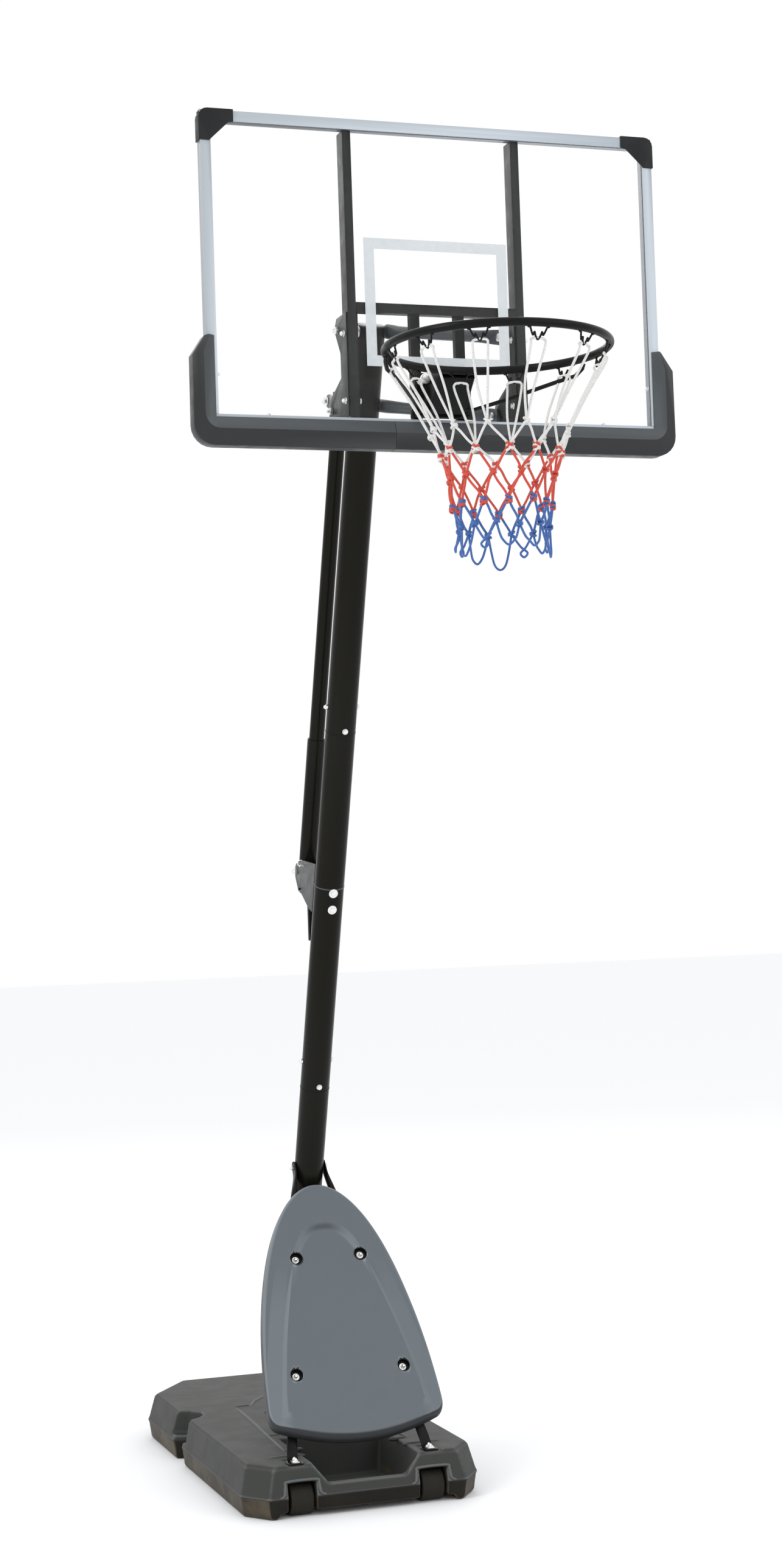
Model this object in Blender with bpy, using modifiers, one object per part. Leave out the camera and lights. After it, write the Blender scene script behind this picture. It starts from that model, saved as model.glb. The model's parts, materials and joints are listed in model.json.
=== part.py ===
"""Portable basketball hoop: water-filled wheeled base, leaning sectional pole, parallel lift arms,
clear backboard and sprung rim.  Metres, +Z up.  The court side faces -Y, X is across.
The origin is the middle of the base's underside."""

import math

import bmesh
import bpy
from mathutils import Matrix, Vector

# ------------------------------------------------------------------ driving dimensions (metres)
GAP = 0.0003            # between touching pieces
RUN = 0.0006            # radial clearance of a turning fit

BASE_W, BASE_D, BASE_H = 0.622, 1.240, 0.127
SEAM_Z = 0.052          # moulding line round the base
WALL_DRAFT, DECK_ROUND = 0.018, 0.008   # how far the upper wall leans in, and its rounded top edge
SEAM_RIDGE, SEAM_HALF = 0.003, 0.0010   # how far the moulding line stands out, and half its height
FRONT_CUT = (0.053, 0.072)
REAR_CUT = (0.110, 0.150)
LIP_Z, LIP_HALF, LIP_SLOPE = 0.076, 0.100, 0.040
WELL_FLOOR_Z, WELL_HALF = 0.030, 0.112
NOTCH_IN, NOTCH_SCOOP = 0.262, 0.238    # how far in the side notch and its scoop in the deck reach

WHEEL_R, WHEEL_W, WHEEL_X = 0.040, 0.060, 0.170
WHEEL_BAY, AXLE_SEAT = WHEEL_W / 2 + 0.006, 0.012     # half the wheel's bay, and the axle's seat beyond it
AXLE_R = 0.006
WHEEL_Y = -BASE_D / 2 + 0.046
WHEEL_Z = WHEEL_R + 0.0005

LEAN = 0.3606           # run per rise of the pole
POLE_Y0 = 0.1118        # pole axis where it would meet the floor
POLE_R, POLE_WALL = 0.038, 0.0025
POLE_FOOT_Z, JOINT_LOW_Z, JOINT_HIGH_Z, POLE_TOP_Z = 0.060, 1.020, 1.930, 2.880

RIM_Z, RIM_R, RIM_TUBE = 2.646, 0.234, 0.009
RIM_REACH = 0.354       # board face to the ring's centre
HOOKS, HOOK_WIRE, HOOK_DROP, HOOK_HALF = 12, 0.0020, 0.026, 0.0215
NET_DROP = 0.455

BOARD_Y = -1.410        # front face of the frame
PANE_HALF, PANE_LOW, PANE_HIGH = 0.508, 2.561, 3.200
PANE_T, PANE_SET = 0.004, 0.003
BAR_W, BAR_D, BAR_WALL = 0.0235, 0.025, 0.002

MAST_X, MAST_W, MAST_D = 0.198, 0.0195, 0.040
ARM_RUN, ARM_FALL = 0.415, 0.102   # pole pivot to board pivot
ARM_PITCH = 0.179       # between the two arms' pivots
ARM_TAIL = 0.195        # lower pole pivot back to the lift pivot
# an arm's tube, and half the height and thickness of its crushed end
ARM_R, ARM_TAB, ARM_TAB_T = 0.0142, 0.018, 0.004
# half the lower arm's thickness beside the pole, and the arms' gap there
ARM_WAIST, ARM_CLEAR = 0.0075, 0.0008
PIVOT_R = 0.005
UPPER_PIVOT_Z = 2.870

LIFT_TUBE_R, LIFT_SLEEVE_R, LIFT_BORE_R = 0.0195, 0.0235, 0.0207
LIFT_FOOT = (-0.2527, 1.585)
SLEEVE_TOP_Z, LIFT_LAP = 1.925, 0.130
EAR_X, EAR_T = LIFT_SLEEVE_R + 0.0045, 0.003

STRUT_TOP_Z, STRUT_R = 0.803, 0.0110
STRUT_FOOT = (0.176, -0.563)

SHIELD_W, SHIELD_H, SHIELD_SIDE = 0.230, 0.680, 0.030
SHIELD_MID = (-0.322, 0.582)       # a point of the front skin, on the upper bolt line
SHIELD_RUN = 0.600                 # run per rise of the front skin
SHIELD_LOW, SHIELD_SAG = -0.435, 0.052
SHIELD_SKIN, SHIELD_STAND = 0.0035, 0.014   # its thickness, and its front's height over the bolts' seats
SEAT_R = 0.0165         # the round recess over each bolt
SHIELD_BOLT_ROWS = (("upper", 0.0), ("lower", -0.310))


def pole_y(z):
    return POLE_Y0 - LEAN * z


AXIS = Vector((0, -LEAN, 1)).normalized()          # along the pole, upwards
ACROSS = Vector((0, AXIS.z, -AXIS.y))              # square to the pole, rearwards
ARM_DIR = Vector((0, -ARM_RUN, -ARM_FALL)).normalized()
ARM_UP = Vector((0, -ARM_DIR.z, ARM_DIR.y)) * -1.0
ARM_LEN = math.hypot(ARM_RUN, ARM_FALL)
UPPER_PIVOT = Vector((0, pole_y(UPPER_PIVOT_Z), UPPER_PIVOT_Z))
LOWER_PIVOT = UPPER_PIVOT - AXIS * ARM_PITCH
UPPER_BOARD = UPPER_PIVOT + ARM_DIR * ARM_LEN
LOWER_BOARD = LOWER_PIVOT + ARM_DIR * ARM_LEN
LIFT_HEAD = LOWER_PIVOT - ARM_DIR * ARM_TAIL
LIFT_BASE = Vector((0, *LIFT_FOOT))
LIFT_AXIS = (LIFT_HEAD - LIFT_BASE).normalized()
SLOPE = Vector((0, SHIELD_RUN, 1)).normalized()    # up the shield
OUT = Vector((0, -SLOPE.z, SLOPE.y))               # out of its front

# ------------------------------------------------------------------ scene and materials
for item in list(bpy.data.objects):
    bpy.data.objects.remove(item, do_unlink=True)
PARTS = bpy.data.collections.new("portable_basketball_hoop")
CUTTERS = bpy.data.collections.new("cutters")
for group in (PARTS, CUTTERS):
    bpy.context.scene.collection.children.link(group)

LOOKS = {
    "moulded": ((0.030, 0.032, 0.033), 0.55, 0.0),
    "shield": ((0.085, 0.098, 0.110), 0.50, 0.0),
    "pad": ((0.030, 0.033, 0.037), 0.45, 0.0),
    "cap": ((0.012, 0.013, 0.014), 0.45, 0.0),
    "pole": ((0.020, 0.018, 0.015), 0.35, 0.3),
    "arm": ((0.060, 0.068, 0.072), 0.40, 0.4),
    "plate": ((0.110, 0.120, 0.115), 0.45, 0.4),
    "black": ((0.012, 0.012, 0.012), 0.35, 0.2),
    "rubber": ((0.018, 0.017, 0.015), 0.70, 0.0),
    "silver": ((0.520, 0.570, 0.610), 0.35, 0.6),
    "zinc": ((0.620, 0.620, 0.600), 0.28, 0.9),
    "clear": ((0.930, 0.950, 0.960), 0.05, 0.0),
    "net": ((0.850, 0.850, 0.850), 0.80, 0.0),
}


def material(name, look):
    mat = bpy.data.materials.new(name)
    mat.use_nodes = True
    colour, rough, metal = LOOKS[look]
    shader = mat.node_tree.nodes["Principled BSDF"]
    shader.inputs["Base Color"].default_value = (*colour, 1)
    shader.inputs["Roughness"].default_value = rough
    shader.inputs["Metallic"].default_value = metal
    if look == "clear":
        shader.inputs["Alpha"].default_value = 0.2
    return mat


# ------------------------------------------------------------------ general modelling helpers
def from_bmesh(name, bm, look="black", group=PARTS, smooth=True):
    bmesh.ops.recalc_face_normals(bm, faces=bm.faces)
    mesh = bpy.data.meshes.new(name)
    bm.to_mesh(mesh)
    bm.free()
    obj = bpy.data.objects.new(name, mesh)
    group.objects.link(obj)
    if group is PARTS:
        mesh.materials.append(material(name + "_mat", look))
        if smooth:
            mesh.shade_smooth()
            mesh.set_sharp_from_angle(angle=math.radians(35))
    else:
        obj.hide_render = True
        obj.display_type = "WIRE"
    return obj


def bake(obj):
    """Replace the object's mesh by its modified one, so that the cutters can go."""
    graph = bpy.context.evaluated_depsgraph_get()
    mesh = bpy.data.meshes.new_from_object(obj.evaluated_get(graph))
    obj.modifiers.clear()
    old, obj.data = obj.data, mesh
    bpy.data.meshes.remove(old)


def combine(obj, others, operation):
    for other in others:
        mod = obj.modifiers.new("combine", "BOOLEAN")
        mod.operation, mod.object, mod.solver = operation, other, "EXACT"
        bpy.context.view_layer.update()
        bake(obj)
        bpy.data.objects.remove(other, do_unlink=True)
    weld = bmesh.new()
    weld.from_mesh(obj.data)
    bmesh.ops.remove_doubles(weld, verts=weld.verts, dist=0.000004)
    bmesh.ops.dissolve_degenerate(weld, edges=weld.edges, dist=0.000002)
    weld.to_mesh(obj.data)
    weld.free()
    return obj


def cut(obj, *others):
    return combine(obj, others, "DIFFERENCE")


def join(obj, *others):
    return combine(obj, others, "UNION")


def box(low, high, name="cutter", look="black", group=CUTTERS):
    low, high = Vector(low), Vector(high)
    bm = bmesh.new()
    bmesh.ops.create_cube(bm, size=1)
    size = high - low
    bmesh.ops.transform(bm, matrix=Matrix.Translation((low + high) / 2) @ Matrix.Diagonal((*size, 1)),
                        verts=bm.verts)
    return from_bmesh(name, bm, look, group, smooth=False)


def rod(start, end, radius, name="cutter", look="black", group=CUTTERS, segments=10, radius_end=None):
    start, end = Vector(start), Vector(end)
    turn = (end - start).to_track_quat("Z", "Y").to_matrix().to_4x4()
    bm = bmesh.new()
    bmesh.ops.create_cone(bm, cap_ends=True, segments=segments, radius1=radius,
                          radius2=radius if radius_end is None else radius_end,
                          depth=(end - start).length,
                          matrix=Matrix.Translation((start + end) / 2) @ turn)
    return from_bmesh(name, bm, look, group)


def prism(outline, normal, depth, name="cutter", look="black", group=CUTTERS):
    """A closed outline of points, pushed along the normal."""
    bm = bmesh.new()
    verts = [bm.verts.new(Vector(p)) for p in outline]
    face = bm.faces.new(verts)
    bmesh.ops.recalc_face_normals(bm, faces=[face])
    grown = bmesh.ops.extrude_face_region(bm, geom=[face])
    moved = [g for g in grown["geom"] if isinstance(g, bmesh.types.BMVert)]
    bmesh.ops.translate(bm, vec=Vector(normal).normalized() * depth, verts=moved)
    return from_bmesh(name, bm, look, group, smooth=False)


def frustum(low_rect, low_z, high_rect, high_z, name="cutter", group=CUTTERS):
    """A box whose top and bottom rectangles (x0, y0, x1, y1) differ."""
    bm = bmesh.new()
    rings = []
    for (x0, y0, x1, y1), z in ((low_rect, low_z), (high_rect, high_z)):
        rings.append([bm.verts.new((x, y, z)) for x, y in ((x0, y0), (x1, y0), (x1, y1), (x0, y1))])
    bm.faces.new(rings[0])
    bm.faces.new(rings[1])
    for i in range(4):
        j = (i + 1) % 4
        bm.faces.new((rings[0][i], rings[0][j], rings[1][j], rings[1][i]))
    return from_bmesh(name, bm, group=group, smooth=False)


def skin_rings(name, rings, look, group=PARTS, closed_path=False):
    """A closed body through rings of points that all have the same count."""
    bm = bmesh.new()
    loops = [[bm.verts.new(p) for p in ring] for ring in rings]
    count = len(loops[0])
    pairs = list(zip(loops, loops[1:]))
    if closed_path:
        pairs.append((loops[-1], loops[0]))
    for a, b in pairs:
        for i in range(count):
            j = (i + 1) % count
            bm.faces.new((a[i], a[j], b[j], b[i]))
    if not closed_path:
        bm.faces.new(loops[0])
        bm.faces.new(list(reversed(loops[-1])))
    bmesh.ops.remove_doubles(bm, verts=bm.verts, dist=0.00001)
    bmesh.ops.dissolve_degenerate(bm, edges=bm.edges, dist=0.000005)
    return from_bmesh(name, bm, look, group)


def turned(name, profile, start, axis, look, segments=32, group=PARTS):
    """A profile of (radius, height) turned about an axis.  A closed profile makes a ring."""
    mesh = bpy.data.meshes.new(name)
    closed = profile[0] == profile[-1]
    points = profile[:-1] if closed else profile
    edges = [(i, i + 1) for i in range(len(points) - 1)]
    if closed:
        edges.append((len(points) - 1, 0))
    mesh.from_pydata([(r, 0, z) for r, z in points], edges, [])
    obj = bpy.data.objects.new(name, mesh)
    group.objects.link(obj)
    screw = obj.modifiers.new("turn", "SCREW")
    screw.steps = screw.render_steps = segments
    screw.use_merge_vertices = True
    screw.merge_threshold = 0.00001
    screw.use_smooth_shade = True
    obj.matrix_world = (Matrix.Translation(Vector(start))
                        @ Vector(axis).to_track_quat("Z", "Y").to_matrix().to_4x4())
    bpy.context.view_layer.update()
    bake(obj)
    bm = bmesh.new()
    bm.from_mesh(obj.data)
    bmesh.ops.recalc_face_normals(bm, faces=bm.faces)
    bm.transform(obj.matrix_world)
    bm.to_mesh(obj.data)
    bm.free()
    obj.matrix_world = Matrix.Identity(4)
    if group is PARTS:
        obj.data.materials.clear()
        obj.data.materials.append(material(name + "_mat", look))
        obj.data.shade_smooth()
        obj.data.set_sharp_from_angle(angle=math.radians(35))
    return obj


def tube(name, start, end, outer, inner, look, segments=24, group=PARTS):
    start, end = Vector(start), Vector(end)
    length = (end - start).length
    ring = [(outer, length), (outer, 0), (inner, 0), (inner, length), (outer, length)]
    return turned(name, ring, start, end - start, look, segments, group)


def wire(name, points, radius, look, sides=2, group=PARTS):
    """A bent round wire or rod, as a closed mesh."""
    curve = bpy.data.curves.new(name, "CURVE")
    curve.dimensions = "3D"
    spline = curve.splines.new("POLY")
    spline.points.add(len(points) - 1)
    for point, place in zip(spline.points, points):
        point.co = (*place, 1)
    curve.bevel_depth = radius
    curve.bevel_resolution = sides
    curve.use_fill_caps = True
    obj = bpy.data.objects.new(name + "_path", curve)
    group.objects.link(obj)
    bpy.context.view_layer.update()
    graph = bpy.context.evaluated_depsgraph_get()
    mesh = bpy.data.meshes.new_from_object(obj.evaluated_get(graph))
    bm = bmesh.new()
    bm.from_mesh(mesh)
    bmesh.ops.remove_doubles(bm, verts=bm.verts, dist=0.00001)
    bpy.data.meshes.remove(mesh)
    bpy.data.objects.remove(obj, do_unlink=True)
    return from_bmesh(name, bm, look, group)


def section(centre, up, half_x, half_up, power, count=12):
    """A ring of points, round (power 2) to nearly square, across X and up."""
    ring = []
    for i in range(count):
        angle = 2 * math.pi * (i + 0.5) / count
        c, s = math.cos(angle), math.sin(angle)
        x = half_x * math.copysign(abs(c) ** (2 / power), c)
        u = half_up * math.copysign(abs(s) ** (2 / power), s)
        ring.append(Vector(centre) + Vector((x, 0, 0)) + up * u)
    return ring


def bolt(name, start, end, radius, head=1.75, look="zinc", washer=0.0, acorn=True):
    """A hexagon bolt from start to end of its grip, with an acorn nut beyond the end."""
    count = 12 if washer else 6
    start, end = Vector(start), Vector(end)
    axis = (end - start).normalized()
    side = axis.orthogonal().normalized()
    other = axis.cross(side)
    grip = (end - start).length
    hexa, thick = radius * head, radius * 1.3
    thin = 0.0015 if washer else 0.0
    rows = [(-thin - thick, hexa, True), (-thin, hexa, True)]
    if washer:
        rows += [(-thin, washer, False), (0, washer, False)]
    rows += [(0, radius, False), (grip, radius, False)]
    if washer:
        rows += [(grip, washer, False), (grip + thin, washer, False)]
    rows += [(grip + thin, hexa, True), (grip + thin + thick, hexa, True)]
    if acorn:
        rows += [(grip + thin + thick, hexa * 0.80, False), (grip + thin + thick * 1.9, hexa * 0.50, False)]
    rings = []
    for along, size, six in rows:
        ring = []
        for i in range(count):
            flat = six and count == 12 and i % 2
            reach = size * (math.cos(math.pi / 6) if flat else 1)
            angle = 2 * math.pi * i / count
            ring.append(start + axis * along + (side * math.cos(angle) + other * math.sin(angle)) * reach)
        rings.append(ring)
    return skin_rings(name, rings, look)


def both(make):
    for side, sign in (("left", -1), ("right", 1)):
        make(side, sign)


def hang(point, *names):
    """Put the origins of these pieces on their joint."""
    for name in names:
        obj = PARTS.objects[name]
        obj.data.transform(Matrix.Translation(-point))
        obj.location = point


# ------------------------------------------------------------------ base, wheels and ballast tank
CAP_X, CAP_Y, CAP_DEPTH, CAP_PLUG_R = 0.165, 0.400, 0.030, 0.019


def base_outline(inset, z):
    w, d = BASE_W / 2 - inset, BASE_D / 2 - inset
    fx, fy = FRONT_CUT
    rx, ry = REAR_CUT
    half = [(w - fx, -d), (w, -d + fy), (w, d - ry), (w - rx, d)]
    ring = half + [(-x, y) for x, y in reversed(half)]
    return [Vector((x, y, z)) for x, y in ring]


def make_base():
    under, over = SEAM_Z - SEAM_HALF, SEAM_Z + SEAM_HALF
    levels = [(0.012, 0.0), (0.008, 0.006), (SEAM_RIDGE, under - SEAM_RIDGE), (0.0, under), (0.0, over),
              (SEAM_RIDGE, over + SEAM_RIDGE), (WALL_DRAFT, BASE_H - DECK_ROUND),
              (WALL_DRAFT + DECK_ROUND, BASE_H)]
    tank = skin_rings("base_tank", [base_outline(i, z) for i, z in levels], "moulded")
    front = -BASE_D / 2
    lip = [(-LIP_HALF, LIP_Z), (LIP_HALF, LIP_Z), (LIP_HALF + LIP_SLOPE, BASE_H + 0.001),
           (-LIP_HALF - LIP_SLOPE, BASE_H + 0.001)]
    cutters = [prism([(x, front - 0.01, z) for x, z in lip], (0, 1, 0), 0.050),
               frustum((-WELL_HALF, front + 0.038, WELL_HALF, front + 0.270), WELL_FLOOR_Z,
                       (-WELL_HALF - 0.026, front + 0.022, WELL_HALF + 0.026, front + 0.330), BASE_H + 0.002),
               frustum((-0.238, front - 0.02, 0.238, front + 0.150), -0.01,
                       (-0.226, front - 0.02, 0.226, front + 0.120), 0.015)]
    for sign in (-1, 1):
        inner, outer = WHEEL_X - WHEEL_BAY, WHEEL_X + WHEEL_BAY
        cutters.append(box((min(sign * inner, sign * outer), front - 0.02, -0.01),
                           (max(sign * inner, sign * outer), WHEEL_Y + WHEEL_R + 0.008, 2 * WHEEL_R + 0.006)))
        cutters.append(rod((sign * (inner - AXLE_SEAT), WHEEL_Y, WHEEL_Z),
                           (sign * (outer + AXLE_SEAT), WHEEL_Y, WHEEL_Z), AXLE_R + GAP, segments=16))
        slot = [(0.330, 0.060), (NOTCH_IN, 0.086), (NOTCH_IN, 0.150), (0.330, 0.176)]
        scoop = [(0.340, 0.020), (0.262, 0.066), (NOTCH_SCOOP, 0.100), (NOTCH_SCOOP, 0.136), (0.262, 0.170),
                 (0.340, 0.216)]
        cutters.append(prism([(sign * x, y, -0.01) for x, y in slot], (0, 0, 1), BASE_H))
        cutters.append(prism([(sign * x, y, SEAM_Z + 0.012) for x, y in scoop], (0, 0, 1), BASE_H))
        foot_x, foot_y = STRUT_FOOT
        beside = FOOT_HALF + 0.003
        cutters.append(box((sign * foot_x - beside, foot_y - 0.050, BASE_H - FOOT_RECESS),
                           (sign * foot_x + beside, foot_y + 0.036, BASE_H + 0.004)))
        for place in foot_bolt_places(sign, BASE_H):
            cutters.append(rod(place - UP * (FOOT_RECESS + FOOT_STUD), place + UP * 0.01, FOOT_BOLT_R + GAP,
                               segments=12))
    socket_low = Vector((0, pole_y(POLE_FOOT_Z), POLE_FOOT_Z)) - AXIS * GAP
    cutters.append(rod(socket_low, socket_low + AXIS * 0.16, POLE_R + 0.0008, segments=32))
    cutters.append(rod((CAP_X, CAP_Y, BASE_H - CAP_DEPTH), (CAP_X, CAP_Y, BASE_H + 0.01), CAP_PLUG_R + RUN,
                       segments=24))
    cut(tank, *cutters)


def make_cap_and_wheels():
    grip = [(0, 0.0125), (0.0235, 0.0125), (0.0255, 0.0100), (0.0255, GAP), (CAP_PLUG_R, GAP),
            (CAP_PLUG_R, -0.0170), (0, -0.0170)]
    turned("filler_cap", grip, (CAP_X, CAP_Y, BASE_H), (0, 0, 1), "cap", 24)

    def wheel(side, sign):
        half, bore = WHEEL_W / 2, AXLE_R + RUN
        ring = [(WHEEL_R - 0.003, half), (WHEEL_R, half - 0.004), (WHEEL_R, -half + 0.004),
                (WHEEL_R - 0.003, -half), (0.0125, -half), (bore, -half - 0.002), (bore, half + 0.002),
                (0.0125, half), (WHEEL_R - 0.003, half)]
        turned("wheel_" + side, ring, (sign * WHEEL_X, WHEEL_Y, WHEEL_Z), (1, 0, 0), "rubber", 20)
        reach = WHEEL_BAY + AXLE_SEAT - GAP
        rod((sign * WHEEL_X - reach, WHEEL_Y, WHEEL_Z), (sign * WHEEL_X + reach, WHEEL_Y, WHEEL_Z), AXLE_R,
            "wheel_axle_" + side, "zinc", PARTS, 12)

    both(wheel)


# ------------------------------------------------------------------ pole
def on_pole(z):
    return Vector((0, pole_y(z), z))


def make_pole():
    stations = (("pole_lower", POLE_FOOT_Z, JOINT_LOW_Z), ("pole_middle", JOINT_LOW_Z, JOINT_HIGH_Z),
                ("pole_upper", JOINT_HIGH_Z, POLE_TOP_Z))
    sections = {}
    for name, low, high in stations:
        sections[name] = tube(name, on_pole(low) + AXIS * GAP / 2, on_pole(high) - AXIS * GAP / 2, POLE_R,
                              POLE_R - POLE_WALL, "pole")
    lid = [(0, 0.004), (POLE_R - 0.002, 0.004), (POLE_R, 0.002), (POLE_R, GAP),
           (POLE_R - POLE_WALL - GAP, GAP),
           (POLE_R - POLE_WALL - GAP, -0.004), (0, -0.004)]
    turned("pole_cap", lid, on_pole(POLE_TOP_Z), AXIS, "arm", 24)
    reach = POLE_R + GAP
    for name, z, where in (("joint_bolt_upper", 1.990, "pole_upper"),
                           ("joint_bolt_lower", 1.090, "pole_middle"),
                           ("strut_bolt", STRUT_TOP_Z, "pole_lower"), ("arm_bolt_upper", 0, "pole_upper"),
                           ("arm_bolt_lower", 0, "pole_upper")):
        centre = {"arm_bolt_upper": UPPER_PIVOT, "arm_bolt_lower": LOWER_PIVOT}.get(name) or on_pole(z)
        radius = PIVOT_R if name.startswith("arm") else JOINT_BOLT_R
        far = Vector((POLE_R + 0.02, 0, 0))
        cut(sections[where], rod(centre - far, centre + far, radius + RUN))
        grip = {"arm_bolt_upper": UPPER_TAB_OUT, "arm_bolt_lower": LOWER_TAB_OUT, "strut_bolt": STRUT_TAB_OUT}
        half = grip.get(name, reach) + (GAP if name in grip else 0)
        bolt(name, centre + Vector((half, 0, 0)), centre - Vector((half, 0, 0)), radius)
    for row, z in BRACKET_BOLT_Z:
        centre = on_pole(z)
        far = ACROSS * (POLE_R + 0.02)
        cut(sections["pole_middle"], rod(centre - far, centre + far, BRACKET_BOLT_R + RUN))
        bolt("bracket_bolt_" + row, centre - ACROSS * reach, centre + ACROSS * (POLE_R + EAR_T + 3 * GAP),
             BRACKET_BOLT_R, head=1.5, washer=0.012, acorn=False)


# ------------------------------------------------------------------ struts and front shield
UPPER_TAB_OUT = POLE_R + ARM_CLEAR + 2 * ARM_TAB_T
LOWER_TAB_OUT = POLE_R + ARM_CLEAR + 2 * ARM_WAIST
STRUT_TAB_T = 0.005
STRUT_TAB_OUT = POLE_R + 2 * GAP + STRUT_TAB_T
UP = Vector((0, 0, 1))
FOOT_RECESS, FOOT_T, FOOT_STUD, FOOT_BOLT_R, FOOT_HALF = 0.004, 0.0022, 0.012, 0.0034, 0.0210
FOOT_BACK, FOOT_FRONT, FOOT_TIP = 0.004, -0.020, -0.027   # the flat foot's stations along Y
FOOT_REST = BASE_H - FOOT_RECESS + GAP
SHIELD_BOLT_R = 0.0035


def foot_bolt_places(sign, z):
    return [Vector((sign * STRUT_FOOT[0], STRUT_FOOT[1] + along, z)) for along in (-0.0160, -0.0030)]


def strut_line(sign):
    """The middle of a strut's straight tube: by the pole, and just above the foot."""
    top = on_pole(STRUT_TOP_Z) + Vector((sign * (STRUT_TAB_OUT - STRUT_TAB_T / 2), 0, 0))
    return top, Vector((sign * STRUT_FOOT[0], STRUT_FOOT[1] + 0.016, BASE_H + 0.006))


def strut_crossing(sign, up):
    """Where the strut passes behind height `up` of the shield: the point in front of it, and its depth."""
    top, bend = strut_line(sign)
    mid = Vector((0, *SHIELD_MID))
    high, low = (top - mid).dot(SLOPE), (bend - mid).dot(SLOPE)
    place = top.lerp(bend, (high - up) / (high - low))
    depth = -(place - mid).dot(OUT)
    return place + OUT * depth, depth


def strut_rings(sign, grow=0.0):
    foot_x, foot_y = STRUT_FOOT
    top, bend = strut_line(sign)
    down = (Vector((0, bend.y, bend.z)) - Vector((0, top.y, top.z))).normalized()
    up = Vector((0, down.z, -down.y))

    def at(t):
        return top.lerp(bend, t)

    rings = []
    for along, share in ((-0.016, 0.45), (-0.011, 0.85), (0.0, 1.0), (0.022, 1.0)):
        rings.append((top + down * along, up, STRUT_TAB_T / 2, 0.017 * share, 3.0))
    rings += [(at(0.10), up, STRUT_R * 0.9, STRUT_R * 1.1, 2.0), (at(0.16), up, STRUT_R, STRUT_R, 2.0),
              (at(0.84), up, STRUT_R, STRUT_R, 2.0), (at(0.90), up, STRUT_R * 1.15, STRUT_R * 0.62, 2.4),
              (at(0.965), up, 0.0138, 0.0034, 3.0)]
    flat = Vector((0, 0, 1))
    rest = FOOT_REST + FOOT_T
    lean = Vector((0, 0.75, 0.66)).normalized()
    rings += [(Vector((sign * foot_x, foot_y + 0.012, rest + 0.0035)), lean, 0.0138, 0.0026, 3.0),
              (Vector((sign * foot_x, foot_y + FOOT_BACK, rest)), flat, FOOT_HALF, FOOT_T, 3.0),
              (Vector((sign * foot_x, foot_y + FOOT_FRONT, rest)), flat, FOOT_HALF, FOOT_T, 3.0),
              (Vector((sign * foot_x, foot_y + FOOT_TIP, rest)), flat, FOOT_HALF * 0.75, FOOT_T, 3.0)]
    return [section(c, u, hx + grow, hu + grow, p) for c, u, hx, hu, p in rings]


def make_struts():
    def strut(side, sign):
        bar = skin_rings("strut_" + side, strut_rings(sign), "black")
        centre = on_pole(STRUT_TOP_Z)
        cut(bar, rod(centre, centre + Vector((sign * (POLE_R + 0.04), 0, 0)), JOINT_BOLT_R + RUN))
        for _, up in SHIELD_BOLT_ROWS:
            face, depth = strut_crossing(sign, up)
            cut(bar, rod(face + OUT * 0.01, face - OUT * (depth + 0.03), SHIELD_BOLT_R + RUN))
        rest = FOOT_REST + 2 * FOOT_T + GAP
        plate = box((sign * STRUT_FOOT[0] - 0.0085, STRUT_FOOT[1] - 0.0225, rest),
                    (sign * STRUT_FOOT[0] + 0.0085, STRUT_FOOT[1] + 0.0035, rest + 0.0018),
                    "foot_bolts_" + side, "zinc", PARTS)
        for place in foot_bolt_places(sign, rest + 0.0009):
            join(plate, rod(place - UP * (FOOT_STUD + 0.0055), place, FOOT_BOLT_R, segments=12))
            join(plate, rod(place, place + UP * 0.0055, 0.0058, segments=6))
            join(plate, rod(place + UP * 0.0050, place + UP * 0.0100, 0.0046, segments=12, radius_end=0.0022))
            cut(bar, rod(place - UP * 0.02, place + UP * 0.01, FOOT_BOLT_R + RUN))

    both(strut)


def shield_point(x, up, out=0.0):
    return Vector((x, *SHIELD_MID)) + SLOPE * up + OUT * out


def shield_outline(inset, out, steps=16):
    """Half an ellipse over a shallow arc, in the shield's own plane."""
    points = []
    low = SHIELD_LOW
    centre = low - 0.041
    a0 = math.asin((low - centre) / SHIELD_H)
    for i in range(steps + 1):
        angle = a0 + (math.pi - 2 * a0) * i / steps
        x, s = SHIELD_W * math.cos(angle), centre + SHIELD_H * math.sin(angle)
        nx, ns = math.cos(angle) / SHIELD_W, math.sin(angle) / SHIELD_H
        size = math.hypot(nx, ns)
        points.append((x - inset * nx / size, s - inset * ns / size))
    edge = points[0][0]
    sill = points[0][1] + inset
    for i in range(1, 8):
        x = -edge + 2 * edge * i / 8
        points.append((x, sill - SHIELD_SAG * (1 - (x / edge) ** 2) + inset * 0.4))
    return [shield_point(x, s, out) for x, s in points]


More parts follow.
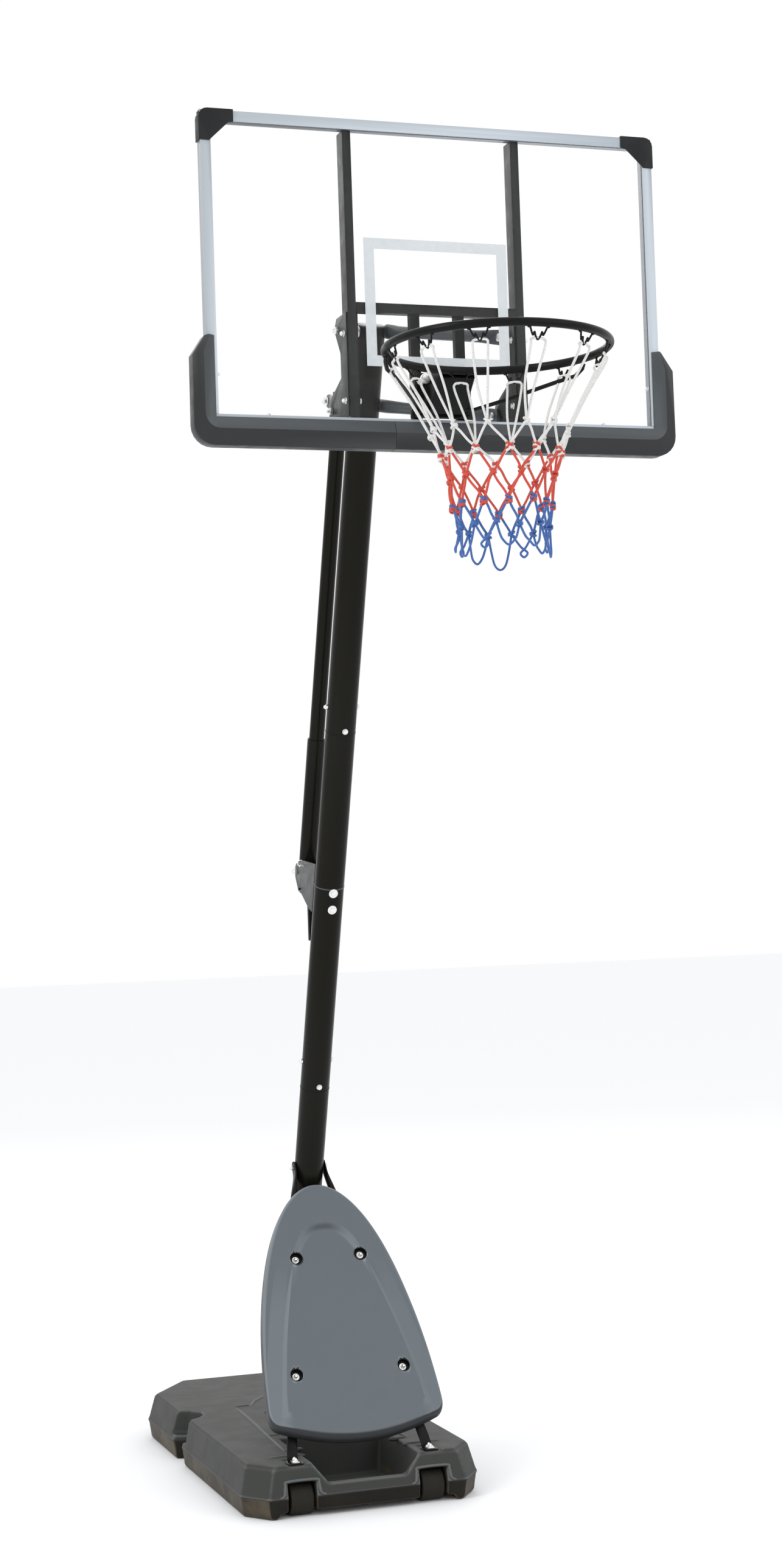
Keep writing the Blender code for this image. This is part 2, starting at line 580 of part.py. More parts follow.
def make_shield():
    front = SHIELD_STAND
    cover = skin_rings("shield",
                       [shield_outline(0.0, front - SHIELD_SIDE), shield_outline(0.0, front - 0.010),
                                  shield_outline(0.004, front - 0.003), shield_outline(0.011, front)],
                                  "shield")
    hollow = skin_rings("hollow", [shield_outline(0.005, front - SHIELD_SIDE - 0.01),
                                   shield_outline(0.005, front - 0.010 - SHIELD_SKIN),
                                   shield_outline(0.014, front - SHIELD_SKIN)], "shield", CUTTERS)
    cut(cover, hollow)
    low, high = on_pole(0.30), on_pole(0.95)
    cut(cover, rod(low, high, POLE_R + 0.0015, segments=32))
    for side, sign in (("left", -1), ("right", 1)):
        crossings = [(row, *strut_crossing(sign, up)) for row, up in SHIELD_BOLT_ROWS]
        for _, face, depth in crossings:
            join(cover, rod(face + OUT * (front - 0.002), face - OUT * depth, SEAT_R + 0.003, segments=16))
        cut(cover, skin_rings("clear", strut_rings(sign, 0.0008), "black", CUTTERS))
        for row, face, depth in crossings:
            cut(cover, rod(face, face + OUT * (front + 0.01), SEAT_R, segments=16))
            cut(cover, rod(face + OUT * 0.01, face - OUT * 0.05, SHIELD_BOLT_R + RUN))
            bolt("shield_bolt_%s_%s" % (row, side), face - OUT * (depth + STRUT_R + 0.001), face + OUT * GAP,
                 SHIELD_BOLT_R, washer=0.0085)


# ------------------------------------------------------------------ lift behind the pole
LOCK_PIN, LOCK_LEVER = Vector((0, -0.318, 1.598)), Vector((0, -0.280, 1.539))
LOCK_PIN_R, LEVER_PIN_R, BRACKET_BOLT_R, JOINT_BOLT_R = 0.0035, 0.0030, 0.005, 0.004
BRACKET_BOLT_Z = (("upper", 1.5365), ("lower", 1.4950))


def make_lift():
    edge = POLE_R * math.hypot(1, LEAN) + GAP * 2

    def rear(z):
        return pole_y(z) + edge

    shape = [(rear(1.478), 1.478), (rear(1.600), 1.600), (-0.320, 1.612), (-0.250, 1.606), (-0.234, 1.590),
             (-0.240, 1.568), (-0.262, 1.534), (-0.290, 1.526), (-0.350, 1.488)]
    outer = prism([(-EAR_X - EAR_T / 2, y, z) for y, z in shape], (1, 0, 0), 2 * EAR_X + EAR_T,
                  "lift_bracket",
                  "plate", PARTS)
    web = EAR_T * math.hypot(1, LEAN)
    inside = [(rear(1.40) + web, 1.40), (rear(1.70) + web, 1.70), (-0.10, 1.70), (-0.10, 1.40)]
    cut(outer, prism([(-EAR_X + EAR_T / 2, y, z) for y, z in inside], (1, 0, 0), 2 * EAR_X - EAR_T))
    for _, z in BRACKET_BOLT_Z:
        centre = on_pole(z)
        cut(outer, rod(centre, centre + ACROSS * 0.08, BRACKET_BOLT_R + RUN))
    pivot, far = LIFT_BASE, Vector((0.06, 0, 0))
    pin, lever = LOCK_PIN, LOCK_LEVER
    for place, radius in ((pivot, PIVOT_R), (pin, LOCK_PIN_R), (lever, LEVER_PIN_R)):
        cut(outer, rod(place - far, place + far, radius + RUN))
    side = Vector((EAR_X + EAR_T / 2 + GAP, 0, 0))
    bolt("lift_bolt", pivot + side, pivot - side, PIVOT_R)
    sleeve_low = LIFT_BASE - LIFT_AXIS * 0.014
    top_run = (SLEEVE_TOP_Z - LIFT_BASE.z) / LIFT_AXIS.z
    sleeve_top = LIFT_BASE + LIFT_AXIS * top_run
    sleeve = tube("lift_sleeve", sleeve_low, sleeve_top, LIFT_SLEEVE_R, LIFT_BORE_R, "pole", 24)
    cut(sleeve, rod(pivot - far, pivot + far, PIVOT_R + RUN))
    head = LIFT_HEAD + LIFT_AXIS * 0.020
    inner = tube("lift_tube", sleeve_top - LIFT_AXIS * LIFT_LAP, head, LIFT_TUBE_R, LIFT_TUBE_R - 0.002,
                 "pole", 24)
    lid = turned("lid",
                 [(0, 0.004), (LIFT_TUBE_R - 0.002, 0.004), (LIFT_TUBE_R, 0.002), (LIFT_TUBE_R, -0.002),
                         (LIFT_TUBE_R - 0.001, -0.003), (0, -0.003)], head, LIFT_AXIS, "pole", 24, CUTTERS)
    join(inner, lid)
    hook = [pin - Vector((EAR_X + x, 0, -z)) for x, z in ((0.011, 0), (0.016, 0.004), (0.016, 0.011),
                                                          (0.010, 0.0145), (0.005, 0.0135))]
    lock = rod(pin - Vector((EAR_X + 0.012, 0, 0)), pin + Vector((EAR_X + 0.010, 0, 0)), LOCK_PIN_R,
               "lock_pin",
               "zinc", PARTS, 12)
    join(lock, wire("hook", hook, 0.0022, "zinc", 1, CUTTERS))
    bar = [(lever.y - 0.006, lever.z - 0.136), (lever.y + 0.006, lever.z - 0.136), (lever.y + 0.007, lever.z),
           (lever.y + 0.004, lever.z + 0.0065), (lever.y - 0.004, lever.z + 0.0065),
           (lever.y - 0.007, lever.z)]
    handle = prism([(-0.010, y, z) for y, z in bar], (1, 0, 0), 0.020, "lock_lever", "black", PARTS)
    cut(handle, box((-0.0075, lever.y - 0.010, lever.z - 0.130), (0.0075, lever.y + 0.003, lever.z - 0.014)))
    reach = Vector((EAR_X + 0.006, 0, 0))
    join(handle, rod(lever - reach, lever + reach, LEVER_PIN_R))


# ------------------------------------------------------------------ parallel arms
def arm_rings(sign, stations, origin):
    return [section(origin + ARM_DIR * s + Vector((sign * x, 0, 0)), ARM_UP, hx, hu, p)
            for s, x, hx, hu, p in stations]


def tab_end(s, x, half, away, first):
    """The rounded tip of a crushed tube end, beyond its bolt."""
    tips = [(s + away * 0.018, x, half * 0.8, ARM_TAB * 0.30, 3.0),
            (s + away * 0.013, x, half, ARM_TAB * 0.76, 3.0),
            (s, x, half, ARM_TAB, 3.0), (s - away * 0.024, x, half, ARM_TAB * 0.98, 3.0)]
    return tips if first else list(reversed(tips))


CHEEK, CHEEK_CLEAR = 0.0045, 0.0015     # the mast's bracket plate inside it, and the arm's gap from that
BOARD_TAB_X = MAST_X - MAST_W / 2 - CHEEK - CHEEK_CLEAR - ARM_TAB_T


def make_arms():
    pole_x = POLE_R + ARM_CLEAR + ARM_TAB_T

    def spread(share):
        """Across, this share of the way from the arm's pole end to its board end."""
        return pole_x + (BOARD_TAB_X - pole_x) * share

    def pair(side, sign):
        upper = tab_end(0, pole_x, ARM_TAB_T, -1, True)
        upper += [(0.060, spread(0.098), ARM_R * 0.95, ARM_R * 1.05, 2.0),
                  (0.090, spread(0.157), ARM_R, ARM_R, 2.0),
                  (ARM_LEN - 0.090, spread(0.762), ARM_R, ARM_R, 2.0),
                  (ARM_LEN - 0.060, spread(0.836), ARM_R * 0.9, ARM_R * 1.05, 2.0)]
        upper += tab_end(ARM_LEN, BOARD_TAB_X, ARM_TAB_T, 1, False)
        bar = skin_rings("upper_arm_" + side, arm_rings(sign, upper, UPPER_PIVOT), "arm")
        for place in (UPPER_PIVOT, UPPER_BOARD):
            cut(bar, rod(place, place + Vector((sign * 0.3, 0, 0)), PIVOT_R + RUN))
        waist = POLE_R + ARM_CLEAR + ARM_WAIST
        lower = tab_end(-ARM_TAIL, 0.0300, ARM_TAB_T, -1, True)
        lower += [(-ARM_TAIL + 0.060, 0.0350, ARM_R * 0.95, ARM_R, 2.0),
                  (-0.075, 0.0420, ARM_R * 0.95, ARM_R, 2.0),
                  (-0.048, waist, ARM_WAIST, ARM_R * 1.15, 2.6), (0.048, waist, ARM_WAIST, ARM_R * 1.15, 2.6),
                  (0.080, spread(0.112), ARM_R * 0.95, ARM_R, 2.0),
                  (ARM_LEN - 0.090, spread(0.762), ARM_R, ARM_R, 2.0),
                  (ARM_LEN - 0.060, spread(0.836), ARM_R * 0.9, ARM_R * 1.05, 2.0)]
        lower += tab_end(ARM_LEN, BOARD_TAB_X, ARM_TAB_T, 1, False)
        bar = skin_rings("lower_arm_" + side, arm_rings(sign, lower, LOWER_PIVOT), "arm")
        for place in (LOWER_PIVOT, LOWER_BOARD, LIFT_HEAD):
            cut(bar, rod(place, place + Vector((sign * 0.3, 0, 0)), PIVOT_R + RUN))

    both(pair)


# ------------------------------------------------------------------ backboard
PANE_BACK = BOARD_Y + PANE_SET + PANE_T + GAP
UPRIGHT_X, UPRIGHT_W, UPRIGHT_D = 0.0525, 0.022, 0.018
CROSSBAR_LOW, CROSSBAR_H = 2.797, 0.022
SPRING_BOLT = (0.0525, 2.642)
CLAMP_BOLT = (0.0540, 2.575)
RIM_BOLT_R = 0.0035


def rim_bolt_drills():
    """Cutters for the four bolts that hold the rim's mount, through the panel and the rear uprights."""
    return [rod((sign * x, BOARD_Y - 0.05, z), (sign * x, BOARD_Y + 0.08, z), RIM_BOLT_R + GAP, segments=12)
            for sign in (-1, 1) for x, z in (SPRING_BOLT, CLAMP_BOLT)]


def make_frame():
    y0, y1 = BOARD_Y, BOARD_Y + BAR_D
    slot0, slot1 = y0 + PANE_SET, y0 + PANE_SET + PANE_T
    outer = PANE_HALF + BAR_W
    bars = {
        "frame_left": ((-outer, PANE_LOW + GAP), (-PANE_HALF, PANE_HIGH - GAP)),
        "frame_right": ((PANE_HALF, PANE_LOW + GAP), (outer, PANE_HIGH - GAP)),
        "frame_top": ((-outer, PANE_HIGH), (outer, PANE_HIGH + BAR_W)),
        "frame_bottom": ((-outer, PANE_LOW - BAR_W), (outer, PANE_LOW)),
    }
    lap = 0.004
    for name, ((x0, z0), (x1, z1)) in bars.items():
        bar = box((x0, y0, z0), (x1, y1, z1), name, "silver", PARTS)
        w = BAR_WALL
        if z1 - z0 > x1 - x0:
            cut(bar, box((x0 + w, y0 + w, z0 - 0.01), (x1 - w, y1 - w, z1 + 0.01)))
            edge = x1 if x0 < 0 else x0
            cut(bar,
                box((edge - lap - GAP, slot0 - GAP, z0 - 0.01), (edge + lap + GAP, slot1 + GAP, z1 + 0.01)))
        else:
            cut(bar, box((x0 - 0.01, y0 + w, z0 + w), (x1 + 0.01, y1 - w, z1 - w)))
            edge = z0 if name == "frame_top" else z1
            cut(bar, box((-PANE_HALF - lap - GAP, slot0 - GAP, edge - lap - GAP),
                         (PANE_HALF + lap + GAP, slot1 + GAP, edge + lap + GAP)))
    lap -= 0.0005
    pane = box((-PANE_HALF - lap, slot0, PANE_LOW - lap), (PANE_HALF + lap, slot1, PANE_HIGH + lap),
               "clear_panel", "clear", PARTS)
    cut(pane, *rim_bolt_drills())


def make_corner_caps():
    def cap(side, sign):
        right, top = PANE_HALF + BAR_W, PANE_HIGH + BAR_W
        t = 0.0030
        x1, z1 = right + t, top + t
        radius = 0.020
        ring = [(x1 - 0.078, z1), (x1 - radius, z1)]
        ring += [(x1 - radius + radius * math.sin(a), z1 - radius + radius * math.cos(a))
                 for a in (math.radians(d) for d in (22.5, 45, 67.5))]
        ring += [(x1, z1 - radius), (x1, z1 - 0.070), (x1 - 0.024, z1 - 0.070), (x1 - 0.028, z1 - 0.066),
                 (x1 - 0.066, z1 - 0.030), (x1 - 0.078, z1 - 0.027)]
        body = prism([(sign * x, BOARD_Y - t, z) for x, z in ring], (0, 1, 0), BAR_D + 2 * t,
                     "corner_cap_" + side, "cap", PARTS)
        inner = sorted((sign * (right + GAP), 0.0))
        cut(body, box((inner[0], BOARD_Y - GAP, 2.9), (inner[1], BOARD_Y + BAR_D + 0.02, top + GAP)))

    both(cap)


PAD_TOP, PAD_OUT, PAD_LOW = PANE_LOW + 0.170, PANE_HALF + 0.0565, PANE_LOW - 0.0685
PAD_FACET_X, PAD_FACET_Z = PANE_HALF + 0.0326, PANE_LOW - 0.033
PAD_SHOW = 0.006        # how much of the frame shows inside the pad
PAD_FRONT, PAD_RIDGE, PAD_BACK = 0.003, 0.013, 0.031
PAD_SEAM = -0.1103


def pad_sections(end_x):
    """Cross-sections from the top of one side, round the corner and along the bottom to end_x."""
    inner, sill, bend = PANE_HALF + PAD_SHOW, PANE_LOW - PAD_SHOW, PANE_LOW + 0.039
    rows = [((inner, PAD_TOP), (PANE_HALF + 0.020, PAD_TOP), (PANE_HALF + 0.028, PAD_TOP - 0.001)),
            ((inner, PAD_TOP - 0.041), (PAD_FACET_X, PAD_TOP - 0.041), (PAD_OUT - 0.001, PAD_TOP - 0.043)),
            ((inner, bend), (PAD_FACET_X, bend), (PAD_OUT, bend))]
    steps, radius, inner_r = 6, 0.046, PAD_FACET_X - PANE_HALF
    for i in range(steps + 1):
        angle = math.pi / 2 * i / steps
        c, s = math.cos(angle), math.sin(angle)
        rows.append(((inner, sill), (PANE_HALF + inner_r * c, PANE_LOW - (PANE_LOW - PAD_FACET_Z) * s),
                     (PAD_OUT - radius * (1 - c), PAD_LOW + radius * (1 - s))))
    rows.append(((end_x, sill), (end_x, PAD_FACET_Z), (end_x, PAD_LOW)))
    return rows


def make_pads():
    def pad(side, sign):
        end_x = sign * (PAD_SEAM + sign * GAP)
        rings = []
        for (ax, az), (bx, bz), (cx, cz) in pad_sections(end_x):
            rings.append([Vector((sign * x, BOARD_Y + y, z)) for x, y, z in (
                (ax, -PAD_FRONT, az), (bx, -PAD_RIDGE, bz), (cx, -PAD_FRONT * 1.5, cz), (cx, PAD_BACK, cz),
                (ax, PAD_BACK, az))])
        body = skin_rings("pad_" + side, rings, "pad")
        outer, low = PANE_HALF + BAR_W + GAP, PANE_LOW - BAR_W - GAP
        cut(body, box((-outer, BOARD_Y - GAP, low), (outer, BOARD_Y + 0.08, 3.0)))

    both(pad)


def make_masts():
    y0, y1 = PANE_BACK, PANE_BACK + MAST_D
    low, high = PANE_LOW + GAP, PANE_HIGH - GAP

    def mast(side, sign):
        inner, outer = MAST_X - MAST_W / 2, MAST_X + MAST_W / 2
        x0, x1 = sorted((sign * inner, sign * outer))
        body = box((x0, y0, low), (x1, y1, high), "mast_" + side, "black", PARTS)
        cut(body, box((x0 + 0.0015, y0 + 0.0015, low - 0.01), (x1 - 0.0015, y1 - 0.0015, high + 0.01)))
        brow = CROSSBAR_LOW - GAP
        shape = [(y0 + 0.004, brow), (UPPER_BOARD.y + 0.010, brow), (UPPER_BOARD.y + 0.021, brow - 0.014),
                 (UPPER_BOARD.y + 0.023, UPPER_BOARD.z), (y1 + 0.012, 2.715), (y1 + 0.012, 2.660),
                 (LOWER_BOARD.y + 0.010, 2.628), (LOWER_BOARD.y + 0.022, 2.612),
                 (LOWER_BOARD.y + 0.024, 2.592),
                 (LOWER_BOARD.y + 0.010, 2.575), (y0 + 0.004, low + 0.006)]
        for face, thick in ((inner - CHEEK, CHEEK + 0.0010), (outer - 0.0010, CHEEK)):
            start = sign * face if sign > 0 else sign * (face + thick)
            join(body, prism([(start, y, z) for y, z in shape], (1, 0, 0), thick))
        for row, place in (("upper", UPPER_BOARD), ("lower", LOWER_BOARD)):
            cut(body, rod(place, place + Vector((sign * 0.3, 0, 0)), PIVOT_R + GAP))
            inner_end = BOARD_TAB_X - ARM_TAB_T - CHEEK_CLEAR
            bolt("board_bolt_%s_%s" % (row, side), place + Vector((sign * inner_end, 0, 0)),
                 place + Vector((sign * (outer + 0.0035 + GAP), 0, 0)), PIVOT_R)

    both(mast)
    inner = MAST_X - MAST_W / 2 - GAP
    cross = box((-inner, y0, CROSSBAR_LOW), (inner, y0 + UPRIGHT_D + 0.002, CROSSBAR_LOW + CROSSBAR_H),
                "rear_crossbars", "black", PARTS)
    for sign in (-1, 1):
        x0, x1 = sorted((sign * (UPRIGHT_X - UPRIGHT_W / 2), sign * (UPRIGHT_X + UPRIGHT_W / 2)))
        join(cross, box((x0, y0 + 0.0005, low), (x1, y0 + UPRIGHT_D, CROSSBAR_LOW + 0.003)))
    cut(cross, *rim_bolt_drills())


# ------------------------------------------------------------------ rim, its mount and the net
PLATE_T, PLATE_STAND = 0.004, 0.009     # the sprung plate, and how far it stands off the board
SPRING_REACH = 0.052    # board to the sprung bolts' washers
CLAMP_HOLE_R, SPRING_HOLE_R = 0.0078, 0.0070    # wide enough for the plate to tip over the bolts
RIM_CENTRE = Vector((0, BOARD_Y - RIM_REACH, RIM_Z))
RIM_HINGE = Vector((0, BOARD_Y - 0.008, 2.562))


def rim_hoop(name, tube_r, group=PARTS):
    """The ring's tube at this radius, as sections round the ring's centre."""
    sections = []
    for a in (2 * math.pi * (i + 0.5) / 36 for i in range(36)):
        sections.append([RIM_CENTRE + Vector((math.sin(a) * (RIM_R + tube_r * math.cos(b)),
                                              math.cos(a) * (RIM_R + tube_r * math.cos(b)),
                                              tube_r * math.sin(b)))
                         for b in (2 * math.pi * k / 8 for k in range(8))])
    return skin_rings(name, sections, "black", group, closed_path=True)


def make_rim():
    centre = RIM_CENTRE
    ring = rim_hoop("rim_ring", RIM_TUBE)
    low = -RIM_TUBE * 0.70
    shape = [(-1.0, 0.0), (-0.45, -0.55), (0.0, -1.0), (0.45, -0.55), (1.0, 0.0)]
    for i in range(HOOKS):
        a = 2 * math.pi * i / HOOKS
        out, along = Vector((math.sin(a), math.cos(a), 0)), Vector((math.cos(a), -math.sin(a), 0))
        base = centre + out * (RIM_R - 0.001) + Vector((0, 0, low))
        path = [base + along * (HOOK_HALF * u) + Vector((0, 0, HOOK_DROP * v)) - out * (0.010 * -v) for u,
                v in shape]
        join(ring, wire("hook", path, HOOK_WIRE, "black", 0, CUTTERS))
    front = BOARD_Y - GAP
    half_w, top, low_z = 0.066, 2.662, 2.5635
    plate = box((-half_w, front - PLATE_T - PLATE_STAND, low_z), (half_w, front - PLATE_STAND, top),
                "rim_bracket",
                "black", PARTS)
    back_y = centre.y + RIM_R + RIM_TUBE * 0.2
    gusset = [(front - 0.010, 2.652), (front - 0.010, 2.566), (front - 0.036, 2.566), (back_y + 0.012, 2.632),
              (back_y, 2.637), (back_y, 2.652)]
    for face in (-0.0405, 0.0375):
        join(plate, prism([(face, y, z) for y, z in gusset], (1, 0, 0), 0.003))
    join(plate, box((-0.0400, back_y, 2.6485), (0.0400, front - 0.010, 2.6525)))
    join(plate, prism([(-0.0392, y, z) for y, z in ((front - 0.0365, 2.5672), (back_y + 0.0135, 2.6330),
                                                      (back_y + 0.0135, 2.6360), (front - 0.0365, 2.5702))],
                      (1, 0, 0), 0.0784))
    for sign in (-1, 1):
        reach = centre + Vector((sign * 0.2225, 0.068, 0.0))
        path = [reach + Vector((0, 0, -0.012)), reach + Vector((-sign * 0.001, 0.006, -0.022)),
                reach + Vector((-sign * 0.010, 0.024, -0.034)),
                Vector((sign * 0.186, centre.y + 0.125, 2.606)),
                Vector((sign * 0.110, centre.y + 0.240, 2.587)),
                Vector((sign * 0.062, front - 0.036, 2.5780)),
                Vector((sign * 0.040, front - 0.030, 2.5770))]
        join(plate, wire("brace", path, 0.0045, "black", 2, CUTTERS))
    cut(plate, rim_hoop("ring_clear", RIM_TUBE + GAP, CUTTERS))

    def sprung_bolt(side, sign):
        for (x, z), radius, reach in ((CLAMP_BOLT, CLAMP_HOLE_R, 0.024), (SPRING_BOLT, SPRING_HOLE_R, 0.050)):
            cut(plate, rod((sign * x, front - reach, z), (sign * x, front + 0.01, z), radius, segments=12))
        x, z = SPRING_BOLT
        bolt("rim_bolt_" + side, (sign * x, front - SPRING_REACH, z),
             (sign * x, PANE_BACK + UPRIGHT_D + GAP, z),
             RIM_BOLT_R, head=1.7, washer=0.0100, acorn=False)
        tube("rim_spring_" + side, (sign * x, front - SPRING_REACH + GAP, z),
             (sign * x, front - PLATE_STAND - PLATE_T - GAP, z), 0.0088, 0.0055, "zinc", 16)

    both(sprung_bolt)


def make_clamp():
    front, pane_front = BOARD_Y - GAP, BOARD_Y + PANE_SET - GAP
    bar = box((-0.072, front - PLATE_STAND + 2 * GAP, 2.5640), (0.072, pane_front, 2.5860), "rim_hinge_bar",
              "black", PARTS)
    x, z = CLAMP_BOLT
    for sign in (-1, 1):
        head = Vector((sign * x, front - PLATE_STAND - PLATE_T - 0.0032, z))
        rear = Vector((sign * x, PANE_BACK + UPRIGHT_D + GAP, z))
        join(bar, bolt("stud", head, rear, RIM_BOLT_R, head=1.7, acorn=False))


NET_STEPS, NET_T = 7, 0.004
NET_TOP_R, NET_WAIST_R, NET_FOOT_R, NET_FLARE = 0.208, 0.137, 0.086, 0.010
NET_WAIST_AT, NET_FLARE_AT = 0.40, 0.85     # shares of the way down


def make_net():
    """A thin stand-in sleeve: it narrows quickly to its waist, then slowly, and flares at the foot."""
    top = RIM_Z - RIM_TUBE * 0.7 - HOOK_DROP - HOOK_WIRE - 0.002
    low = RIM_Z - NET_DROP
    outside = []
    for t in (i / NET_STEPS for i in range(NET_STEPS + 1)):
        radius = NET_TOP_R + (NET_WAIST_R - NET_TOP_R) * min(t / NET_WAIST_AT, 1.0)
        if t > NET_WAIST_AT:
            turn = min((t - NET_WAIST_AT) / (NET_FLARE_AT - NET_WAIST_AT), 1.0) * math.pi / 2
            radius += (NET_FOOT_R - NET_WAIST_R) * math.sin(turn)
        radius += NET_FLARE * max(t - NET_FLARE_AT, 0) / (1 - NET_FLARE_AT)
        outside.append((radius, top + (low - top) * t))
    inside = [(radius - NET_T, z) for radius, z in reversed(outside)]
    turned("net", outside + inside + outside[:1], (0, RIM_CENTRE.y, 0), (0, 0, 1), "net", 16)


make_base()
make_cap_and_wheels()
make_pole()
make_struts()
make_shield()
make_lift()
make_arms()
make_frame()
make_corner_caps()
make_pads()
make_masts()
make_rim()
make_clamp()
make_net()

# ------------------------------------------------------- joints: each moving piece turns about its origin
hang(UPPER_PIVOT, "upper_arm_left", "upper_arm_right")
hang(LOWER_PIVOT, "lower_arm_left", "lower_arm_right")
hang(LOWER_BOARD, "frame_left", "frame_right", "frame_top", "frame_bottom", "clear_panel", "corner_cap_left",
     "corner_cap_right", "pad_left", "pad_right", "mast_left", "mast_right", "rear_crossbars",
     "board_bolt_upper_left", "board_bolt_upper_right", "board_bolt_lower_left", "board_bolt_lower_right",
     "rim_bolt_left", "rim_bolt_right", "rim_hinge_bar")
hang(RIM_HINGE, "rim_ring", "rim_bracket", "net", "rim_spring_left", "rim_spring_right")
hang(LIFT_BASE, "lift_sleeve", "lift_tube")
hang(LOCK_PIN, "lock_pin")
hang(LOCK_LEVER, "lock_lever")
hang(Vector((CAP_X, CAP_Y, BASE_H)), "filler_cap")
hang(Vector((-WHEEL_X, WHEEL_Y, WHEEL_Z)), "wheel_left")
hang(Vector((WHEEL_X, WHEEL_Y, WHEEL_Z)), "wheel_right")
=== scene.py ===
"""The looks of a portable basketball hoop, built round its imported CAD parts.

Everything is in metres in the parts' own frame: +Z up, the court side towards -Y, X across."""

import json
import math
import random

import bmesh
import bpy
from mathutils import Matrix, Vector

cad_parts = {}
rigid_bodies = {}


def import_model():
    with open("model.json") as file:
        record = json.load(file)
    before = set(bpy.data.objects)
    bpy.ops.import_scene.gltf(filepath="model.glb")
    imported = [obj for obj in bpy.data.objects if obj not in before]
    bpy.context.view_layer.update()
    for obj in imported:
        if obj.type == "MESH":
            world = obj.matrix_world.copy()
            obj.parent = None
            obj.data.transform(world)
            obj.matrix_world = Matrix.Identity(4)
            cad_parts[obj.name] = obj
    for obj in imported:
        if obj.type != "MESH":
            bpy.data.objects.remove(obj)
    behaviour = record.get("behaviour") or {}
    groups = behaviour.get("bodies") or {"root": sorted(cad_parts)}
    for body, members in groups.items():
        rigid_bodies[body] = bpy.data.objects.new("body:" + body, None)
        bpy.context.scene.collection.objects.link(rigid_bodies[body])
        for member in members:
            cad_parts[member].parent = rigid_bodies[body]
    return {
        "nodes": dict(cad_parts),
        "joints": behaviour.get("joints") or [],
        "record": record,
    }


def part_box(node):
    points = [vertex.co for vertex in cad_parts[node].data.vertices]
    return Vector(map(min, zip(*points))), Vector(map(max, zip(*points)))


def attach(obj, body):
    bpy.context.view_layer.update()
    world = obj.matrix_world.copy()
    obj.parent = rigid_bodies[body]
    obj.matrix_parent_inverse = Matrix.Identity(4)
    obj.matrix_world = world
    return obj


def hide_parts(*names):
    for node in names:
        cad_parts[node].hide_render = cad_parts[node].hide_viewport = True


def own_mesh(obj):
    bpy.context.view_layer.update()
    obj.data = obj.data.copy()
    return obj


for item in list(bpy.data.objects):
    bpy.data.objects.remove(item, do_unlink=True)
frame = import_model()
NODES = frame["nodes"]
JOINTS = {joint["name"]: joint for joint in frame["joints"]}
